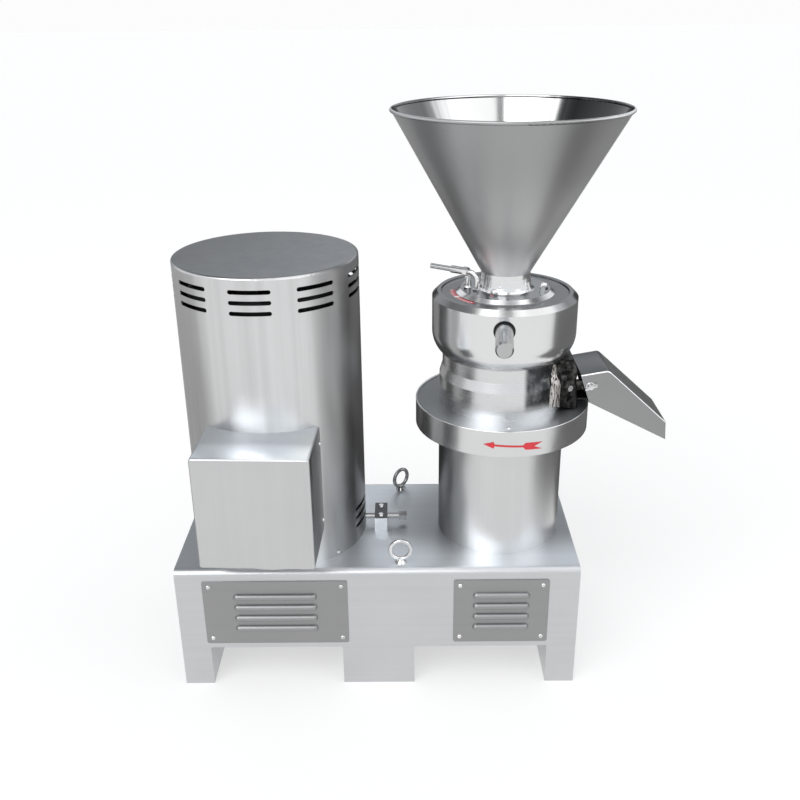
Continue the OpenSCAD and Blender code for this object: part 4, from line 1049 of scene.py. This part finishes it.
def tray_bead():
    """Torus: distance from the axis is the large radius plus the small one times a cosine."""
    around = full_turn(160)[:, None]
    about = full_turn(12)[None, :]
    out = tray_r - bead_r + bead_r * np.cos(about)
    x = mill_x + out * np.cos(around)
    y = out * np.sin(around)
    z = tray_high.z + bead_r * np.sin(about) + 0.0 * around
    return np.stack([x, y, z], -1)


bead_piece = weave("tray_bead", [(tray_bead(), True, True)], "polished")
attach(bead_piece, "base")

# %% [markdown]
# ## Drive belts
#
# Three V-belts run inside the base. A curve with a bevel could make them, but here the points follow from
# the belt's own sizes: its section, a trapezium, is carried along two half circles and two straight runs.

# %% Run the belts
belt_count = 3
belt_pitch = 0.019
belt_top_w = 0.016
belt_under_w = 0.010
belt_in = 0.064
belt_depth = 0.010
belt_z = 0.157


def belt_loop(level):
    """The section swept along the loop: a half circle at each pulley, joined by straight runs."""
    half = np.linspace(-math.pi / 2, math.pi / 2, 33)
    angle = np.concatenate([half, half + math.pi])
    centre = np.repeat(np.array([mill_x, motor_x]), len(half))
    out = np.array([belt_in, belt_in + belt_depth, belt_in + belt_depth, belt_in])
    side = np.array([-belt_under_w, -belt_top_w, belt_top_w, belt_under_w]) / 2
    x = centre[:, None] + np.cos(angle)[:, None] * out
    y = np.sin(angle)[:, None] * out
    z = np.broadcast_to(side + level, x.shape)
    return np.stack([x, y, z], -1)


belt_levels = belt_z + (np.arange(belt_count) - (belt_count - 1) / 2) * belt_pitch
belt_sheets = [(belt_loop(level), True, True) for level in belt_levels]
belt_piece = weave("belt_set", belt_sheets, "belt_rubber")
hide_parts("drive_belts")
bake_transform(belt_piece)

# %% [markdown]
# ## Printed marks
#
# A red arrow on the tray shows the way to turn, and a red scale on the plate beside the ring shows the
# gap. Both could be drawn by the finish of the part below, but a film keeps the edges crisp. So each is a
# small grid laid on the surface, a fifth of a millimetre above it.

# %% Print the arrow
film = 0.0002
arrow_tip = math.radians(-16.3)
arrow_tail = math.radians(21.2)
arrow_notch = math.radians(5.5)
arrow_z = 0.5525
arrow_fall = 0.005
tail_from = 0.70
arrow_knots = (0.0, 0.17, 0.175, 0.66, tail_from, 1.0)
arrow_halves = (0.0002, 0.0072, 0.0020, 0.0020, 0.0074, 0.0074)


def arrow_film():
    """Length by width grid on the skirt: a head, a shaft, and a swallow tail, by half width along it."""
    along = np.linspace(0.0, 1.0, 60)[:, None]
    across = np.linspace(-1.0, 1.0, 9)[None, :]
    half = np.interp(along, arrow_knots, arrow_halves)
    notch = arrow_notch * np.clip((along - tail_from) / (1 - tail_from), 0.0, 1.0)
    angle = arrow_tip + along * (arrow_tail - arrow_tip) - notch * (1 - np.abs(across))
    radius = tray_r + film
    x = mill_x + radius * np.sin(angle)
    y = -radius * np.cos(angle)
    z = arrow_z + half * across - arrow_fall * along
    return np.stack([x, y, z], -1)


arrow_sheets = [(arrow_film(), False, False)]
arrow_piece = weave("turning_arrow", arrow_sheets, "red_print", outward=False)
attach(arrow_piece, "base")

# %% [markdown]
# The scale is an arc of a ring. Its own map runs from 0 to 1 along the arc and across it, and the finish
# draws light ticks wherever the position along the arc falls in a narrow part of each step.

# %% Ink of the scale
tick_count = 14.0
tick_share = 0.30
tick_from = 0.35
field_from = 0.44
field_to = 0.52
scale_red = (0.42, 0.012, 0.035, 1.0)
scale_pale = (0.75, 0.72, 0.70, 1.0)


def scale_finish():
    """Red with pale ticks and one pale field in the middle: the share of a step is the position times the
    number of steps, less its floor."""
    finish = Finish("scale_print", metallic=0.0, roughness=0.4)
    along, across = finish.map.axes()[:2]
    steps = along * tick_count
    share = steps - steps.math("FLOOR", steps)
    tick = (share < tick_share) * (across > tick_from)
    field = (along > field_from) * (along < field_to)
    finish.plug("Base Color", (tick + field).step(0.2, 0.8).mix(scale_red, scale_pale))
    finishes["scale_print"] = finish


scale_finish()
print("scale with", int(tick_count), "ticks")

# %% Print the scale
scale_in = 0.098
scale_out = 0.108
scale_from = math.radians(-96)
scale_to = math.radians(-40)
scale_u, scale_v = np.meshgrid(np.linspace(0, 1, 49), np.linspace(0, 1, 3), indexing="ij")
scale_a = scale_from + scale_u * (scale_to - scale_from)
scale_r = scale_in + scale_v * (scale_out - scale_in)
scale_x = mill_x + scale_r * np.sin(scale_a)
scale_y = -scale_r * np.cos(scale_a)
scale_z = np.full_like(scale_x, plate_top + film)
scale_grid = np.stack([scale_x, scale_y, scale_z], -1)
scale_piece = weave("gap_scale", [(scale_grid, False, False)], "scale_print", outward=False)
scale_map = scale_piece.data.uv_layers.new(name="map")
loop_points = np.zeros(len(scale_piece.data.loops), int)
scale_piece.data.loops.foreach_get("vertex_index", loop_points)
scale_uv = np.stack([scale_u, scale_v], -1).reshape(-1, 2)[loop_points]
scale_map.data.foreach_set("uv", scale_uv.ravel())
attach(scale_piece, "stator_carriage")

# %% [markdown]
# ## Stage and light
#
# Steel shows its surroundings, so the stage matters as much as the metal. A picture of a room could light
# it, but a few plain sheets and lamps are easier to move. The floor is a wide pale sheet that reaches the
# horizon, and it gives a part of its own light, so that the shadow stays pale. Two broad suns stand in
# front, and a soft lamp hangs above. Grey cards to the left, to the right and behind, which only
# reflections see, give the round parts their dark sides, as a photographer would do.


# %% Lay the floor and the cards
def glowing(name, rough, base, glow, strength):
    """A dull material without gloss that gives a part of its own light."""
    colours = {"base_color": grey(base), "emission_color": grey(glow)}
    finish = Finish(name, roughness=rough, emission_strength=strength, **colours)
    finish.surface.inputs["Specular IOR Level"].default_value = 0.0
    return finish.material


def stage_sheet(name, corners, material):
    """A flat stage rectangle from its four corners."""
    mesh = bpy.data.meshes.new(name)
    mesh.from_pydata(corners, [], [(0, 1, 2, 3)])
    mesh.materials.append(material)
    sheet = bpy.data.objects.new(name, mesh)
    scene.collection.objects.link(sheet)
    return sheet


floor_reach = 40.0
floor_z = -0.0005
round_way = ((-1, -1), (1, -1), (1, 1), (-1, 1))
floor_corners = [(x * floor_reach, y * floor_reach, floor_z) for x, y in round_way]
floor_material = glowing("stage_floor", rough=0.9, base=0.42, glow=1.0, strength=0.55)
stage_sheet("stage_floor", floor_corners, floor_material)


def card(name, x_from, x_to, y_from, y_to, level, rise=0.0):
    """A grey card that lies on the floor or rises to the back, and that only reflections see."""
    material = glowing(name, rough=1.0, base=0.0, glow=level, strength=1.0)
    corners = [(x_from, y_from, 0.0), (x_to, y_from, 0.0), (x_to, y_to, rise), (x_from, y_to, rise)]
    made = stage_sheet(name, corners, material)
    made.visible_camera = False
    made.visible_diffuse = False
    made.visible_shadow = False


card_west = -0.75
card_east = 1.00
card_end = 5.0
card("card_left", -5.0, card_west, -0.45, card_end, level=0.42)
card("card_right", card_east, 6.0, -0.60, card_end, level=0.16)
card("card_far", -9.0, 9.0, 6.0, 6.0, level=0.08, rise=2.2)
card("card_back", card_west, card_east, 0.35, card_end, level=0.05)
print("stage laid")


# %% Light it
def hang(name, kind, place, target, power):
    """A lamp of a kind at a place, turned to look at a target. Its data comes back, to set its width."""
    data = bpy.data.lights.new(name, kind)
    data.energy = power
    made = bpy.data.objects.new(name, data)
    made.location = place
    made.rotation_euler = (Vector(target) - Vector(place)).to_track_quat("-Z", "Y").to_euler()
    scene.collection.objects.link(made)
    return data


ground = (0.0, 0.0, 0.0)
middle_height = (0.0, 0.0, 0.5)
key = hang("key", "SUN", (-2.0, -3.0, 3.6), ground, 1.65)
key.angle = math.radians(50.0)
fill = hang("fill", "SUN", (2.6, -1.5, 3.2), ground, 0.85)
fill.angle = math.radians(60.0)
top_lamp = hang("top", "AREA", (0.0, 0.4, 4.0), middle_height, 20.0)
top_lamp.shape = "RECTANGLE"
top_lamp.size = 3.0
top_lamp.size_y = 3.0

sky_edge = (0.98, 0.98, 0.98, 1.0)
sky_wall = (0.95, 0.975, 1.01, 1.0)
sky_roof = (0.14, 0.145, 0.15, 1.0)
world = bpy.data.worlds.new("studio")
scene.world = world
world.use_nodes = True
sky_tree = world.node_tree
sky = sky_tree.nodes["Background"]
sky_way = Wire(sky_tree, sky_tree.nodes.new("ShaderNodeTexCoord").outputs["Generated"])
sky_height = sky_way.axes()[2]
sky_low = sky_height.step(0.01, 0.12).mix(sky_edge, sky_wall)
sky_colour = sky_height.step(0.45, 0.80).mix(sky_low, sky_roof)
sky_tree.links.new(sky_colour.socket, sky.inputs["Color"])
sky.inputs["Strength"].default_value = 1.0
print("lamps lit")
